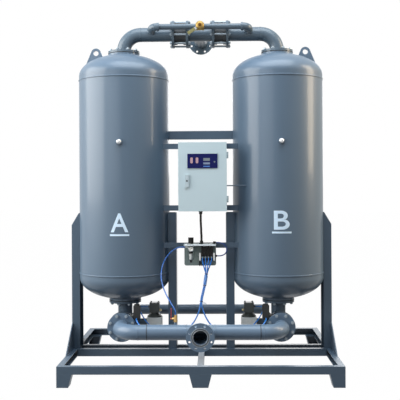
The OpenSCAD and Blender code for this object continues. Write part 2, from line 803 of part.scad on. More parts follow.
module check_valve_studs() {
    start = tee_end - flange_t;
    color(zinc) both_sides() translate([start, tower_y, main_z]) along_x()
        bolt_ring(check_pcd, check_turn) stud(outer_flange_x + flange_t - start);
}

module outlet_tee() {
    branch_d = top_pipe_d - branch_step;
    branch_bore = top_bore - branch_step;
    color(paint) translate([0, tower_y, main_z]) difference() {
        union() {
            translate([-tee_end, 0, 0]) along_x() cylinder(d = top_pipe_d, h = 2 * tee_end);
            both_sides() translate([tee_end - flange_t, 0, 0]) along_x()
                drilled_plate(check_flange_d, check_pcd, check_turn);
            along_back() cylinder(d = branch_d, h = outlet_reach);
            translate([0, outlet_reach - flange_t, 0]) along_back() drilled_plate(line_flange_d, line_pcd, 22.5);
        }
        translate([-tee_end - eps, 0, 0]) along_x() cylinder(d = top_bore, h = 2 * (tee_end + eps));
        along_back() cylinder(d = branch_bore, h = outlet_reach + eps);
    }
}

// Purge line between the two outlet pipes

// Each closed pipe runs from its branch round a bend to the valve, with a collar at both ends of the bend
module purge_pipes() {
    end_x = purge_x - purge_elbow_r;
    color(paint) both_sides() translate([0, tower_y, main_z]) rotate([90 - purge_tilt, 0, 0]) {
        translate([purge_x, 0, purge_collar_z]) cylinder(d = collar_d, h = collar_l);
        translate([end_x, 0, purge_len - purge_elbow_r]) elbow(purge_elbow_r, purge_elbow_d);
        translate([end_x - collar_l, 0, purge_len]) along_x() cylinder(d = collar_d, h = collar_l);
        translate([purge_valve_half, 0, purge_len]) along_x() cylinder(d = purge_d, h = end_x - purge_valve_half);
    }
}

// A ball valve: hexagon ends, a round body, and a domed cap in front of the lever on its stem
module purge_valve() {
    neck_d = 34;
    neck_l = purge_stem - 6;
    cap_r = 35;
    cap_at = purge_stem + lever_t + 1;
    end_d = purge_valve_d * 1.08;
    end_l = purge_valve_half * 0.4;
    cap = concat([[0, 0], [cap_r, 0]], [for (p = arc_points(cap_r, 20, 0, 90, 10)) [p[0], p[1] + 4]]);
    color(brass) translate([0, tower_y - purge_y, main_z + purge_rise]) {
        for (x = [-purge_valve_half, purge_valve_half - end_l]) translate([x, 0, 0]) along_x()
            cylinder(d = end_d, h = end_l, $fn = 6);
        along_x() cylinder(d = purge_valve_d, h = 2 * purge_valve_half - end_l, center = true);
        along_front() cylinder(d = neck_d, h = neck_l);
        along_front() cylinder(d = stem_d, h = cap_at + eps);
        along_front() translate([0, 0, cap_at]) rotate_extrude() polygon(cap);
    }
}

// Lever plate that turns on the valve's stem, pointing to the left and down
module at_purge_lever() {
    translate([0, tower_y - purge_y - purge_stem, main_z + purge_rise]) along_front()
        rotate([0, 0, 180 + purge_lever_angle]) children();
}

module purge_lever() {
    width = lever_w;
    color(zinc) at_purge_lever() linear_extrude(lever_t) difference() {
        union() {
            circle(d = 32);
            translate([0, -width / 2]) square([purge_lever_l * 0.42, width]);
            translate([purge_lever_l * 0.42 - eps, -width * 0.36]) square([purge_lever_l * 0.56 + eps, width * 0.72]);
        }
        circle(d = stem_d + 2 * seat_gap);
    }
}

// Dipped grip round the end of the lever
module purge_lever_grip() {
    width = lever_w;
    skin = 4;
    color([0.95, 0.80, 0.12]) at_purge_lever() difference() {
        translate([purge_lever_l * 0.42, -width / 2 - skin / 2, -skin])
            cube([purge_lever_l * 0.58, width + skin, lever_t + 2 * skin]);
        translate([purge_lever_l * 0.42 - eps, -width * 0.36 - seat_gap, -seat_gap])
            cube([purge_lever_l * 0.56 + seat_gap + eps, width * 0.72 + 2 * seat_gap, lever_t + 2 * seat_gap]);
    }
}

// Pipework under the towers

module tower_tee() {
    flange_z = low_face - gasket_t - flange_t;
    branch_d = low_pipe_d - branch_step;
    branch_bore = low_bore - branch_step;
    color(paint) translate([tower_x, tower_y, 0]) difference() {
        union() {
            translate([0, 0, flange_z]) drilled_plate(big_flange_d, big_pcd, 22.5);
            translate([0, 0, tee_bottom]) cylinder(d = low_pipe_d, h = flange_z + flange_t - tee_bottom);
            translate([0, 0, line_z]) along_front() cylinder(d = branch_d, h = tee_reach);
            translate([0, flange_t - tee_reach, line_z]) along_front() drilled_plate(elbow_flange_d, elbow_pcd, 22.5);
            translate([0, 0, line_z]) rotate([0, -90, 0])
                cylinder(d = exhaust_branch_d, h = tower_x - exhaust_inlet_end);
        }
        translate([0, 0, tee_bottom + pipe_wall]) cylinder(d = low_bore, h = low_face - tee_bottom);
        translate([0, 0, line_z]) along_front() cylinder(d = branch_bore, h = tee_reach + eps);
        translate([0, 0, line_z]) rotate([0, -90, 0])
            cylinder(d = exhaust_branch_d - 2 * exhaust_wall, h = tower_x - exhaust_inlet_end + eps);
    }
}

module tower_tee_a() { on_side(-1) tower_tee(); }

module tower_tee_b() { on_side(1) tower_tee(); }

// Wafer valves with a neck that leans in towards the centre and ends on the actuator's side
module inlet_valves() {
    neck = 36;
    disc_t = 12;
    color(dark_steel) both_sides() {
        difference() {
            union() {
                translate([tower_x, tower_y - wafer_y, line_z]) along_front() cylinder(d = wafer_d, h = wafer_t);
                translate([tower_x, inlet_actuator_at[1], line_z]) rotate([0, -45, 0])
                    cylinder(d = neck, h = 1.42 * inlet_actuator_x);
            }
            translate(inlet_actuator_at + [inlet_actuator_w / 2 - 200, -100, -100]) cube(200);
            translate([tower_x, tower_y - wafer_y + eps, line_z]) along_front()
                cylinder(d = low_bore, h = (wafer_t - disc_t) / 2 + eps);
            translate([tower_x, tower_y - wafer_y - (wafer_t + disc_t) / 2, line_z]) along_front()
                cylinder(d = low_bore, h = (wafer_t - disc_t) / 2 + eps);
        }
    }
}

// Upright rack and pinion actuators on the valves' necks, each with a tube fitting on its front
module inlet_actuators() {
    w = inlet_actuator_w;
    l = inlet_actuator_l;
    cap = 12;
    color(black) both_sides() translate(inlet_actuator_at) {
        translate([-w / 2, -actuator_depth / 2, cap - l / 2]) cube([w, actuator_depth, l - 2 * cap]);
        for (z = [-l / 2, l / 2 - cap]) translate([0, 0, z]) cylinder(d = actuator_depth - 2, h = cap);
        translate([0, 0, -inlet_port_drop]) along_front()
            cylinder(d = fitting_d, h = actuator_depth / 2 + actuator_boss);
    }
}

module inlet_valve_studs() {
    start = tee_reach - flange_t;
    color(zinc) both_sides() translate([tower_x, tower_y - start, line_z]) along_front()
        bolt_ring(elbow_pcd, 22.5) stud(elbow_face + flange_t - start);
}

module inlet_pipe() {
    elbow_x = tower_x - low_elbow_r;
    straight = elbow_x - inlet_tee_half;
    tail = flange_t + elbow_tail;
    color(paint) translate([0, tower_y, line_z]) difference() {
        union() {
            translate([tower_x, -elbow_face, 0]) along_front() drilled_plate(elbow_flange_d, elbow_pcd, 22.5);
            translate([tower_x, -elbow_face, 0]) along_front() cylinder(d = low_pipe_d, h = tail);
            translate([elbow_x, low_elbow_r - header_y, 0]) along_front() rotate([-90, 0, 0]) rotate([0, 0, -90])
                rotate_extrude(angle = 90) translate([low_elbow_r, 0]) circle(d = low_pipe_d);
            translate([inlet_tee_half, -header_y, 0]) along_x() cylinder(d = low_pipe_d, h = straight);
        }
        translate([tower_x, eps - elbow_face, 0]) along_front() cylinder(d = low_bore, h = tail + eps);
        translate([elbow_x, low_elbow_r - header_y, 0]) rotate([0, 0, -90])
            rotate_extrude(angle = 90) translate([low_elbow_r, 0]) circle(d = low_bore);
        translate([inlet_tee_half - eps, -header_y, 0]) along_x() cylinder(d = low_bore, h = straight + eps);
    }
}

// Inlet pipe on tower A's side, with the stub of the sample valve on it
module inlet_pipe_a() {
    stub_d = 21;
    on_side(-1) inlet_pipe();
    color(paint) difference() {
        translate([-sample_x, header_abs_y, line_z]) cylinder(d = stub_d, h = low_pipe_d / 2 + sample_stub_h);
        translate([-sample_x, header_abs_y, line_z]) along_x()
            cylinder(d = low_pipe_d - 2, h = 2 * stub_d, center = true);
    }
}

module inlet_pipe_b() { on_side(1) inlet_pipe(); }

module inlet_tee() {
    branch_d = low_pipe_d - branch_step;
    branch_bore = low_bore - branch_step;
    color(paint) translate([0, header_abs_y, line_z]) difference() {
        union() {
            translate([-inlet_tee_half, 0, 0]) along_x() cylinder(d = low_pipe_d, h = 2 * inlet_tee_half);
            along_front() cylinder(d = branch_d, h = inlet_reach);
            translate([0, flange_t - inlet_reach, 0]) along_front() drilled_plate(line_flange_d, line_pcd, 22.5);
        }
        translate([-inlet_tee_half - eps, 0, 0]) along_x() cylinder(d = low_bore, h = 2 * (inlet_tee_half + eps));
        along_front() cylinder(d = branch_bore, h = inlet_reach + eps);
    }
}

// Exhaust valves on the inner sides of the tower tees

module exhaust_valves() {
    w = exhaust_valve_w;
    drop = 62;
    color([0.70, 0.72, 0.72]) both_sides() translate([exhaust_valve_mid, tower_y, 0]) {
        translate([-w / 2, -valve_body_d / 2, line_z - drop]) cube([w, valve_body_d, valve_body_top - line_z + drop]);
        translate([0, 0, line_z - drop - 14]) cylinder(d = w * 0.6, h = 14);
    }
}

// Piston actuators: a sloping bonnet and a square cylinder with tie rods, a tube fitting on its outer side
module exhaust_actuators() {
    w = actuator_w;
    rod_d = 13;
    rod = w / 2 - rod_d * 0.75;
    profile = [[0, 0], [bonnet_d / 2, 0], [bonnet_d / 2, 9], [w * 0.42, bonnet_h - 9], [w * 0.42, bonnet_h],
        [0, bonnet_h]];
    color(dark_steel) both_sides() translate([exhaust_valve_mid, tower_y, valve_body_top]) {
        rotate_extrude() polygon(profile);
        translate([-w / 2, -w / 2, bonnet_h - eps]) cube([w, w, actuator_h + eps]);
        for (x = [-rod, rod], y = [-rod, rod]) translate([x, y, bonnet_h + actuator_h - eps])
            cylinder(d = rod_d, h = 7 + eps);
        translate([0, 0, exhaust_port_z]) along_x() cylinder(d = fitting_d, h = w / 2 + fitting_l);
    }
}

module exhaust_pipe() {
    start = valve_body_d / 2;
    inner = exhaust_d - 2 * exhaust_wall;
    branch_inner = exhaust_branch_d - 2 * exhaust_wall;
    color(paint) translate([0, tower_y, 0]) difference() {
        union() {
            translate([-exhaust_half, exhaust_back, exhaust_z]) along_x()
                cylinder(d = exhaust_d, h = 2 * exhaust_half);
            both_sides() translate([exhaust_valve_mid, start, exhaust_branch_z]) along_back()
                cylinder(d = exhaust_branch_d, h = exhaust_back - start);
            translate([0, exhaust_back, exhaust_z]) along_back()
                cylinder(d = exhaust_d - branch_step, h = exhaust_stub);
        }
        translate([exhaust_wall - exhaust_half, exhaust_back, exhaust_z]) along_x()
            cylinder(d = inner, h = 2 * (exhaust_half - exhaust_wall));
        both_sides() translate([exhaust_valve_mid, start - eps, exhaust_branch_z]) along_back()
            cylinder(d = branch_inner, h = exhaust_back - start + eps);
        translate([0, exhaust_back, exhaust_z]) along_back()
            cylinder(d = inner - branch_step, h = exhaust_stub + eps);
    }
}

// Sample valve on the inlet pipe

module sample_valve() {
    body_d = 32;
    color(brass) translate([-sample_x, header_abs_y, sample_z + sample_stub_h]) {
        cylinder(d = body_d * 1.06, h = sample_body_h * 0.3, $fn = 6);
        translate([0, 0, sample_body_h * 0.2]) cylinder(d = body_d * 0.94, h = sample_body_h * 0.55);
        translate([0, 0, sample_body_h * 0.7]) cylinder(d = body_d * 0.8, h = sample_body_h * 0.3, $fn = 6);
        translate([0, 0, sample_body_h * 0.45]) rotate([0, -90, 0]) cylinder(d = 18, h = sample_stem - 6);
        translate([0, 0, sample_body_h * 0.45]) rotate([0, -90, 0]) cylinder(d = 8, h = sample_stem + 8);
    }
}

module sample_lever() {
    z = sample_z + sample_stub_h + sample_body_h * 0.45;
    color([0.75, 0.12, 0.10]) translate([-sample_x - sample_stem, header_abs_y, z]) rotate([0, -90, 0])
        linear_extrude(4) difference() {
            union() {
                circle(d = 20);
                translate([0, -7]) square([sample_lever_l - 7, 14]);
                translate([sample_lever_l - 7, 0]) circle(d = 14);
            }
            circle(d = 8 + 2 * seat_gap);
        }
}

// Control box

module control_box() {
    w = box_w;
    color(pale_paint) difference() {
        union() {
            translate([box_x - w / 2, box_front, box_z]) cube([w, box_d, box_h]);
            for (z = hinge_zs) {
                translate([hinge_x - hinge_out, box_front + 8, z]) cube([hinge_out + pin_d / 2, 14, knuckle_l]);
                translate([hinge_x - pin_d / 2, hinge_y, z]) cube([pin_d, box_front + 20 - hinge_y, knuckle_l]);
                translate([hinge_x, hinge_y, z]) cylinder(d = knuckle_d, h = knuckle_l);
                translate([hinge_x, hinge_y, z]) cylinder(d = pin_d, h = 2 * knuckle_l);
            }
        }
        translate([box_x - w / 2 + box_wall, box_front + box_wall, box_z + box_wall])
            cube([w - 2 * box_wall, box_d - 2 * box_wall, box_h - 2 * box_wall]);
        translate([box_x - w / 2 + box_lip, box_front - eps, box_z + box_lip])
            cube([w - 2 * box_lip, box_wall + 2 * eps, box_h - 2 * box_lip]);
        translate([gland_x, gland_y, box_z - eps]) cylinder(d = cable_d + 2 * bolt_play, h = box_wall + 2 * eps);
    }
}

module control_door() {
    color(pale_paint) difference() {
        union() {
            translate([box_x - box_w / 2, door_front, box_z]) cube([box_w, door_t, box_h]);
            for (z = hinge_zs) translate([0, 0, z + knuckle_l + seat_gap]) {
                translate([hinge_x - hinge_out - eps, hinge_y - knuckle_d / 2, 0])
                    cube([hinge_out + eps, knuckle_d / 2, knuckle_l]);
                translate([hinge_x, hinge_y, 0]) cylinder(d = knuckle_d, h = knuckle_l);
            }
        }
        translate([box_x - box_w / 2 + box_wall, door_front + box_wall, box_z + box_wall])
            cube([box_w - 2 * box_wall, door_t, box_h - 2 * box_wall]);
        translate([box_x - display_hole[0] / 2, door_front - eps, box_z + display_rise - display_hole[1] / 2])
            cube([display_hole[0], box_wall + 2 * eps, display_hole[1]]);
        translate([lock_x, door_front - eps, lock_z]) along_back() cylinder(d = lock_hole_d, h = box_wall + 2 * eps);
        for (z = hinge_zs) translate([hinge_x, hinge_y, z]) cylinder(d = pin_d + 2 * seat_gap, h = 3 * knuckle_l);
    }
}

// Display unit: a bezel on the door, with recessed windows, and a housing through the door
module display() {
    bezel_t = 5;
    housing_d = 42;
    window_t = 1.5;
    color([0.10, 0.14, 0.28]) translate([box_x, door_front, box_z + display_rise]) difference() {
        union() {
            translate([-display_w / 2, -bezel_t, -display_h / 2]) cube([display_w, bezel_t, display_h]);
            translate([seat_gap - display_hole[0] / 2, -eps, seat_gap - display_hole[1] / 2])
                cube([display_hole[0] - 2 * seat_gap, housing_d + eps, display_hole[1] - 2 * seat_gap]);
        }
        for (x = [-0.405, -0.223]) translate([x * display_w, -bezel_t - eps, -0.164 * display_h])
            cube([0.087 * display_w, window_t + eps, 0.414 * display_h]);
        for (z = [[0, 0.2], [-0.24, 0.14]]) translate([0.029 * display_w, -bezel_t - eps, z[0] * display_h])
            cube([0.22 * display_w, window_t + eps, z[1] * display_h]);
        translate([0.4 * display_w, window_t - bezel_t, -0.06 * display_h]) along_front()
            cylinder(d = 14, h = window_t + eps);
    }
}

// Handle that turns in the door, with a short locking tongue behind it
module door_handle() {
    shaft_d = lock_hole_d - 2 * seat_gap;
    grip = [30, 12, 98];
    tongue = [14, 5, 34];
    color(black) translate([lock_x, door_front, lock_z]) {
        translate([-grip[0] / 2, -grip[1] - seat_gap, 18 - grip[2]]) cube(grip);
        along_front() translate([0, 0, -door_t]) cylinder(d = shaft_d, h = door_t + seat_gap + eps);
        translate([-tongue[0] / 2, door_t - tongue[1], -tongue[2] + 7]) cube(tongue);
    }
}

// Plate in the back of the box with a terminal rail and a controller on it
module mounting_plate() {
    plate_t = 3;
    margin = 24;
    rail_l = box_w * 0.62;
    rail_z = box_h * 0.216;
    y = box_back - box_wall - 12;
    color([0.80, 0.80, 0.78]) {
        translate([box_x - box_w / 2 + margin, y - plate_t, box_z + margin])
            cube([box_w - 2 * margin, plate_t, box_h - 2 * margin]);
        for (x = [-1, 1], z = [0.1, 0.9])
            translate([box_x + x * (box_w / 2 - margin - 16), y - eps, box_z + box_h * z])
                along_back() cylinder(d = 14, h = 12 + eps);
        translate([box_x - rail_l / 2, y - plate_t - 8, box_z + rail_z]) cube([rail_l, 8 + eps, 35]);
        for (i = [0:11])
            translate([box_x - rail_l * 0.46 + i * rail_l * 0.075, y - plate_t - 46, box_z + rail_z - 12])
                cube([rail_l * 0.05, 38 + eps, 58]);
        translate([box_x - rail_l * 0.46, y - plate_t - 60, box_z + box_h * 0.45])
            cube([rail_l * 0.54, 60 + eps, box_h * 0.16]);
        translate([box_x + rail_l * 0.2, y - plate_t - 66, box_z + box_h * 0.45])
            cube([rail_l * 0.27, 66 + eps, box_h * 0.16]);
    }
}

module gland(d) {
    difference() {
        union() {
            cylinder(d = d * 1.9, h = gland_h * 0.35, $fn = 6);
            cylinder(d = d * 1.5, h = gland_h);
        }
        translate([0, 0, -eps]) cylinder(d = d + 2 * seat_gap, h = gland_h + 2 * eps);
    }
}

module cable_glands() {
    color(black) {
        translate([gland_x, gland_y, box_z]) mirror([0, 0, 1]) gland(cable_d);
        translate([shelf_gland_x, shelf_gland_y, shelf_z]) gland(cable_d);
    }
}

// Pneumatic panel

module valve_panel() {
    r = 16;
    lip = 14;
    color([0.55, 0.60, 0.56]) difference() {
        union() {
            translate([panel_x, box_back, 0]) along_front() linear_extrude(panel_t) union() {
                translate([-panel_w / 2, shelf_z - panel_h + r]) square([panel_w, panel_h - r]);
                translate([-panel_w / 2 + r, shelf_z - panel_h]) square([panel_w - 2 * r, r + eps]);
                for (s = [-1, 1]) translate([s * (panel_w / 2 - r), shelf_z - panel_h + r]) circle(r = r);
            }
            translate([panel_x - panel_w / 2, panel_front - shelf_d, shelf_z - panel_t])
                cube([panel_w, shelf_d + eps, panel_t]);
            translate([panel_x - panel_w / 2, panel_front - shelf_d, shelf_z - lip]) cube([panel_w, panel_t, lip]);
        }
        translate([regulator_x, regulator_y, shelf_z - panel_t - eps])
            cylinder(d = regulator_w * 0.75, h = panel_t + 2 * eps);
        translate([shelf_gland_x, shelf_gland_y, shelf_z - panel_t - eps])
            cylinder(d = cable_d + bolt_play, h = panel_t + 2 * eps);
    }
}

// Filter regulator hung under the shelf: a square body, a gauge with a rim, a bowl with its drain, and a tube fitting
module air_regulator() {
    w = regulator_w;
    under = shelf_z - panel_t;
    neck = w * 0.75 - 2 * seat_gap;
    bowl_r = w * 0.33;
    waist_r = w * 0.28;
    gauge_d = w * 0.9;
    gauge_t = 12;
    bowl = [[0, eps], [w * 0.48, eps], [w * 0.48, 0], [waist_r, -12], [waist_r, -28], [bowl_r, -28], [bowl_r, -68],
        [bowl_r * 0.7, -78], [bowl_r * 0.58, -78], [bowl_r * 0.58, -90], [bowl_r * 0.4, -92], [bowl_r * 0.4, -101],
        [0, -101]];
    color([0.80, 0.82, 0.82]) translate([regulator_x, regulator_y, 0]) {
        translate([-w / 2, -w / 2, under - regulator_h]) cube([w, w, regulator_h]);
        translate([0, 0, under - eps]) cylinder(d = neck, h = panel_t + 4 + eps);
        translate([0, 0, under]) cylinder(d = regulator_stem_d, h = panel_t + 30);
        translate([0, 0, under - regulator_h]) rotate_extrude() polygon(bowl);
        translate([0, 0, under - regulator_h * 0.72]) along_front() {
            cylinder(d = gauge_d * 0.4, h = w / 2 + 5);
            translate([0, 0, w / 2 + 4]) difference() {
                cylinder(d = gauge_d, h = gauge_t);
                translate([0, 0, gauge_t - 1.5]) cylinder(d = gauge_d * 0.88, h = 1.5 + eps);
            }
        }
        translate([0, 0, regulator_port_z]) rotate([0, -90, 0]) cylinder(d = 18, h = regulator_x - regulator_port_x);
    }
}

module regulator_knob() {
    z = shelf_z + 5;
    color(black) translate([regulator_x, regulator_y, z]) difference() {
        cylinder(d = knob_d, h = knob_h);
        translate([0, 0, -eps]) cylinder(d = regulator_stem_d + 2 * seat_gap, h = 30);
        for (a = [0:20:340]) rotate([0, 0, a]) translate([knob_d / 2, 0, 8]) cylinder(d = 3, h = knob_h);
    }
}

// Row of solenoid valves on their manifold, with elbow fittings on its front and silencers under one end
module solenoid_valves() {
    front = panel_front - manifold_d;
    valve_z = manifold_z + manifold_h;
    base_h = solenoid_h * 0.37;
    elbow_d = fitting_d - 2;
    color(black) {
        translate([manifold_x0, front, manifold_z]) cube([manifold_w, manifold_d, manifold_h]);
        for (x = valve_ports) {
            translate([x - solenoid_w / 2, front + 2, valve_z - eps])
                cube([solenoid_w, manifold_d - 4, base_h + eps]);
            translate([x - solenoid_w / 2 + 2, front - 4, valve_z + base_h - eps])
                cube([solenoid_w - 4, manifold_d, solenoid_h - base_h + eps]);
            translate([x, front + 2 + eps, valve_z + base_h / 2]) along_front() cylinder(d = 7, h = 4 + eps);
            translate([x, front + eps, port_z_low + 18]) along_front()
                cylinder(d = elbow_d * 0.75, h = front - port_y + eps);
            translate([x, port_y, port_z_low]) cylinder(d = elbow_d, h = 26);
        }
        for (x = [5, 23]) translate([manifold_x0 + x, feed_y, manifold_z - 46]) {
            cylinder(d1 = 8, d2 = 13, h = 6);
            translate([0, 0, 6 - eps]) cylinder(d = 13, h = 28);
            cylinder(d = 8, h = 46 + eps);
        }
        translate([manifold_x0 + manifold_w - eps, feed_y, feed_z]) along_x()
            cylinder(d = fitting_d, h = feed_end_x - manifold_x0 - manifold_w + eps);
        translate(shelf_fitting) along_x() cylinder(d = fitting_d, h = 20);
        translate([shelf_fitting[0] - 4, shelf_fitting[1] - 9, shelf_z]) cube([16, 18, 20]);
    }
}

// Tubes and cable

// Sides to which each tube's rings are turned, well away from its own direction
front_side = [0.5, 1, 0.35];
sloping_side = [0.3, 0.9, -0.4];
tail_side = [0.5, -0.5, 0.7];
tail_side_a = [-0.5, -0.5, 0.7];

function mirrored(p, s) = [for (q = p) [s * q[0], q[1], q[2]]];

module supply_tube() { color(tube_blue) swept_tube(supply_route, air_tube_d, sloping_side); }

module loop_tube() { color(tube_blue) swept_tube(loop_route, air_tube_d, front_side); }

module exhaust_tube_a() {
    color(tube_blue) swept_tube(concat(exhaust_head_a, mirrored(exhaust_tail, -1)), air_tube_d, tail_side_a);
}

module exhaust_tube_b() {
    color(tube_blue) swept_tube(concat(exhaust_head_b, exhaust_tail), air_tube_d, tail_side);
}

module inlet_tube_a() {
    color(tube_blue) swept_tube(concat(inlet_head_a, mirrored(inlet_tail, -1)), air_tube_d, tail_side_a);
}

module inlet_tube_b() {
    color(tube_blue) swept_tube(concat(inlet_head_b, inlet_tail), air_tube_d, tail_side);
}

module control_cable() { color(black) swept_tube(cable_route, cable_d, front_side); }

skid_end_rails();
skid_side_rails();
skid_bearers();
skid_ties();
skid_feet();
tower_a_legs();
tower_b_legs();
tower_a_shell();
tower_b_shell();
tower_a_top_head();
tower_b_top_head();
tower_a_bottom_head();
tower_b_bottom_head();
lifting_lugs();
port_plugs();
flow_screens();
desiccant_beds();
tie_bar();
cross_bars();
flange_gaskets();
tower_flange_bolts();
outlet_pipe_a();
outlet_pipe_b();
check_valves();
check_valve_studs();
outlet_tee();
purge_pipes();
purge_valve();
purge_lever();
purge_lever_grip();
tower_tee_a();
tower_tee_b();
inlet_valves();
inlet_actuators();
inlet_valve_studs();
inlet_pipe_a();
inlet_pipe_b();
inlet_tee();
exhaust_valves();
exhaust_actuators();
exhaust_pipe();
sample_valve();
sample_lever();
control_box();
control_door();
display();
door_handle();
mounting_plate();
cable_glands();
valve_panel();
air_regulator();
regulator_knob();
solenoid_valves();
supply_tube();
loop_tube();
exhaust_tube_a();
exhaust_tube_b();
inlet_tube_a();
inlet_tube_b();
control_cable();
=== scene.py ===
from math import cos, pi, radians, sin

import bmesh
import bpy
from mathutils import Matrix, Vector


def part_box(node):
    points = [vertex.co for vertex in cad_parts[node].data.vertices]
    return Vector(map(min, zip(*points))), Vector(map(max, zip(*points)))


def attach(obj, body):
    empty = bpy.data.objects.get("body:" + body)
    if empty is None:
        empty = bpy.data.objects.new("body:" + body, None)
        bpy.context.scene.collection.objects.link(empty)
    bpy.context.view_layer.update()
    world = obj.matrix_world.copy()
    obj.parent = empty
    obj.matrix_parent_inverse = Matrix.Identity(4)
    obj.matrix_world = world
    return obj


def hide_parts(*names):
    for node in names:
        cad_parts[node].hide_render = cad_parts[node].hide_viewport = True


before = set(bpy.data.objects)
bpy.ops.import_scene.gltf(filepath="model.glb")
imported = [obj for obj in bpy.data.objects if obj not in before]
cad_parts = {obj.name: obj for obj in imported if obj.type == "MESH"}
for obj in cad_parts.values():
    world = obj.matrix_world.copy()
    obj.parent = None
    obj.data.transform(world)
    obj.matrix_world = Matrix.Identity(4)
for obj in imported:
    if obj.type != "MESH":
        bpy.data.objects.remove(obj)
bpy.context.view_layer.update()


# The camera stands about six and a half metres in front of the dryer, at the height of its control box.
# It looks level, turned a little to the left, through a portrait lens.
def new_object(name, data):
    """An object of the scene round its data."""
    made = bpy.data.objects.new(name, data)
    bpy.context.scene.collection.objects.link(made)
    return made


camera = new_object("camera", bpy.data.cameras.new("camera"))
camera.data.lens = 68.85
camera.data.shift_y = -0.03
camera.location = (0.110, -6.560, 1.506)
camera.rotation_euler = (radians(90), radians(0.3), radians(1.05))
bpy.context.scene.camera = camera
bpy.context.scene.view_settings.view_transform = "Standard"


# Air tubes and the control cable: extruded blue polyurethane tube and a black round cable.
# They are cut to length, pushed into their fittings and glands, and left to hang between them.
class Tone:
    """A socket of a finish's node tree. Sums with it add Math nodes."""

    def __init__(self, tree, socket=None):
        self.tree = tree
        self.socket = socket

    def node(self, kind, settings=(), sockets=(), out=0):
        """Any node: its type, its settings, its sockets' values or links, and the socket to go on from."""
        made = self.tree.nodes.new(kind)
        for name, value in dict(settings).items():
            setattr(made, name, value)
        for name, value in dict(sockets).items():
            if isinstance(value, Tone):
                self.tree.links.new(value.socket, made.inputs[name])
            else:
                made.inputs[name].default_value = value
        return Tone(self.tree, made.outputs[out])

    def sum_of(self, operation, first, second):
        return self.node("ShaderNodeMath", {"operation": operation}, {0: first, 1: second})

    def __add__(self, other):
        return self.sum_of("ADD", self, other)

    def __rsub__(self, other):
        return self.sum_of("SUBTRACT", other, self)

    def __mul__(self, other):
        return self.sum_of("MULTIPLY", self, other)

    __radd__ = __add__
    __rmul__ = __mul__


def tint(red, green, blue):
    """A colour as it looks on screen, made linear for a colour socket."""
    linear = [c / 12.92 if c <= 0.04045 else ((c + 0.055) / 1.055) ** 2.4 for c in (red, green, blue)]
    return (*linear, 1)


def shade(colour, share):
    """A colour made darker, or paler where the share is above one."""
    return (*[min(1, c * share) for c in colour[:3]], 1)


def open_finish(name, **fixed):
    """Starts a finish with its fixed sockets set: its material, its place and its shader's feed."""
    made = bpy.data.materials.new(name)
    made.use_nodes = True
    shader = made.node_tree.nodes["Principled BSDF"]
    for socket, value in fixed.items():
        shader.inputs[socket.replace("_", " ").title().replace("Ior", "IOR")].default_value = value
    place = Tone(made.node_tree).node("ShaderNodeTexCoord", out="Object")

    def feed(socket, tone):
        made.node_tree.links.new(tone.socket, shader.inputs[socket])

    return made, place, feed


def speckle(place, scale, detail=2):
    """Soft noise from nought to one."""
    return place.node("ShaderNodeTexNoise", {}, {"Vector": place, "Scale": scale, "Detail": detail})


def between(share, low, high):
    """A colour between two, on the colour sockets of a Mix node."""
    first, second, result = 6, 7, 2
    return share.node("ShaderNodeMix", {"data_type": "RGBA"}, {0: share, first: low, second: high}, result)


def uneven(middle, spread, share):
    """A roughness that varies by the spread round its middle."""
    return middle - spread / 2 + spread * share


def dented(height, strength, depth, normal=None):
    """A normal with the bumps of a height, over another normal where there is one."""
    sockets = {"Height": height, "Strength": strength, "Distance": depth}
    if normal:
        sockets["Normal"] = normal
    return height.node("ShaderNodeBump", {}, sockets)


def plastic(name, colour, roughness, grain=900, shine=0.5):
    """Moulded or extruded plastic with a fine grain and slightly uneven gloss."""
    made, place, feed = open_finish(name, specular_ior_level=shine)
    cloudy = speckle(place, 40, detail=4)
    feed("Base Color", between(cloudy, shade(colour, 0.8), colour))
    feed("Roughness", uneven(roughness, 0.12, cloudy))
    feed("Normal", dented(speckle(place, grain), strength=0.15, depth=0.0004))
    return made


def lay_cord(name, node, route, diameter, finish):
    """A tube or cable on one smooth curve through the route's points, which are in millimetres."""
    line = bpy.data.curves.new(name, "CURVE")
    line.dimensions = "3D"
    line.bevel_depth = diameter / 2
    line.bevel_resolution = 4
    line.use_fill_caps = True
    line.materials.append(finish)
    run = line.splines.new("BEZIER")
    run.resolution_u = 10
    run.bezier_points.add(len(route) - 1)
    for knot, point in zip(run.bezier_points, route):
        knot.co = Vector(point) / 1000
        knot.handle_left_type = knot.handle_right_type = "AUTO"
    cord = new_object(name, line)
    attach(cord, "dryer")
    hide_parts(node)


tube_diameter = 0.010
cable_diameter = 0.018
tube_grain = 300
tube_blue = plastic("blue_polyurethane", tint(0.12, 0.47, 0.83), 0.3, tube_grain)
tube_deep = plastic("deep_blue_polyurethane", tint(0.10, 0.36, 0.68), 0.3, tube_grain)
# A darker copy of the blue tube, for the feed tube: painted shade cast by the bar above it.
tube_blue_painted_shade = plastic("blue_polyurethane_painted_shade", tint(0.08, 0.22, 0.50), 0.3, tube_grain)
cable_black = plastic("cable_jacket", tint(0.08, 0.06, 0.06), 0.5, shine=0.25)
lay_cord("air_supply_tube", "supply_tube", [
    (-130, -284, 1022), (-152, -284, 1022), (-182, -286, 1018), (-212, -290, 1006), (-246, -300, 982),
    (-275, -312, 950), (-298, -328, 912), (-313, -348, 870), (-320, -370, 830), (-320, -395, 790),
    (-312, -420, 748), (-298, -445, 705), (-278, -470, 664), (-254, -496, 624), (-230, -519, 588),
    (-209, -536, 556), (-199, -542, 530.5), (-199, -542, 508.5),
], tube_diameter, tube_deep)
# The feed tube is the same blue tube, painted dark navy as painted shade.
lay_cord("manifold_feed_tube", "loop_tube", [
    (132, -251, 946), (150, -251, 946), (166, -254, 948), (183, -258, 954), (198, -264, 964),
    (208, -266, 978), (212, -268, 993), (211, -270, 1007), (206, -273, 1022), (197, -276, 1035),
    (184, -278, 1046), (168, -280, 1053), (152, -281, 1057), (138, -281, 1058), (124, -281, 1058),
], tube_diameter, tube_blue_painted_shade)
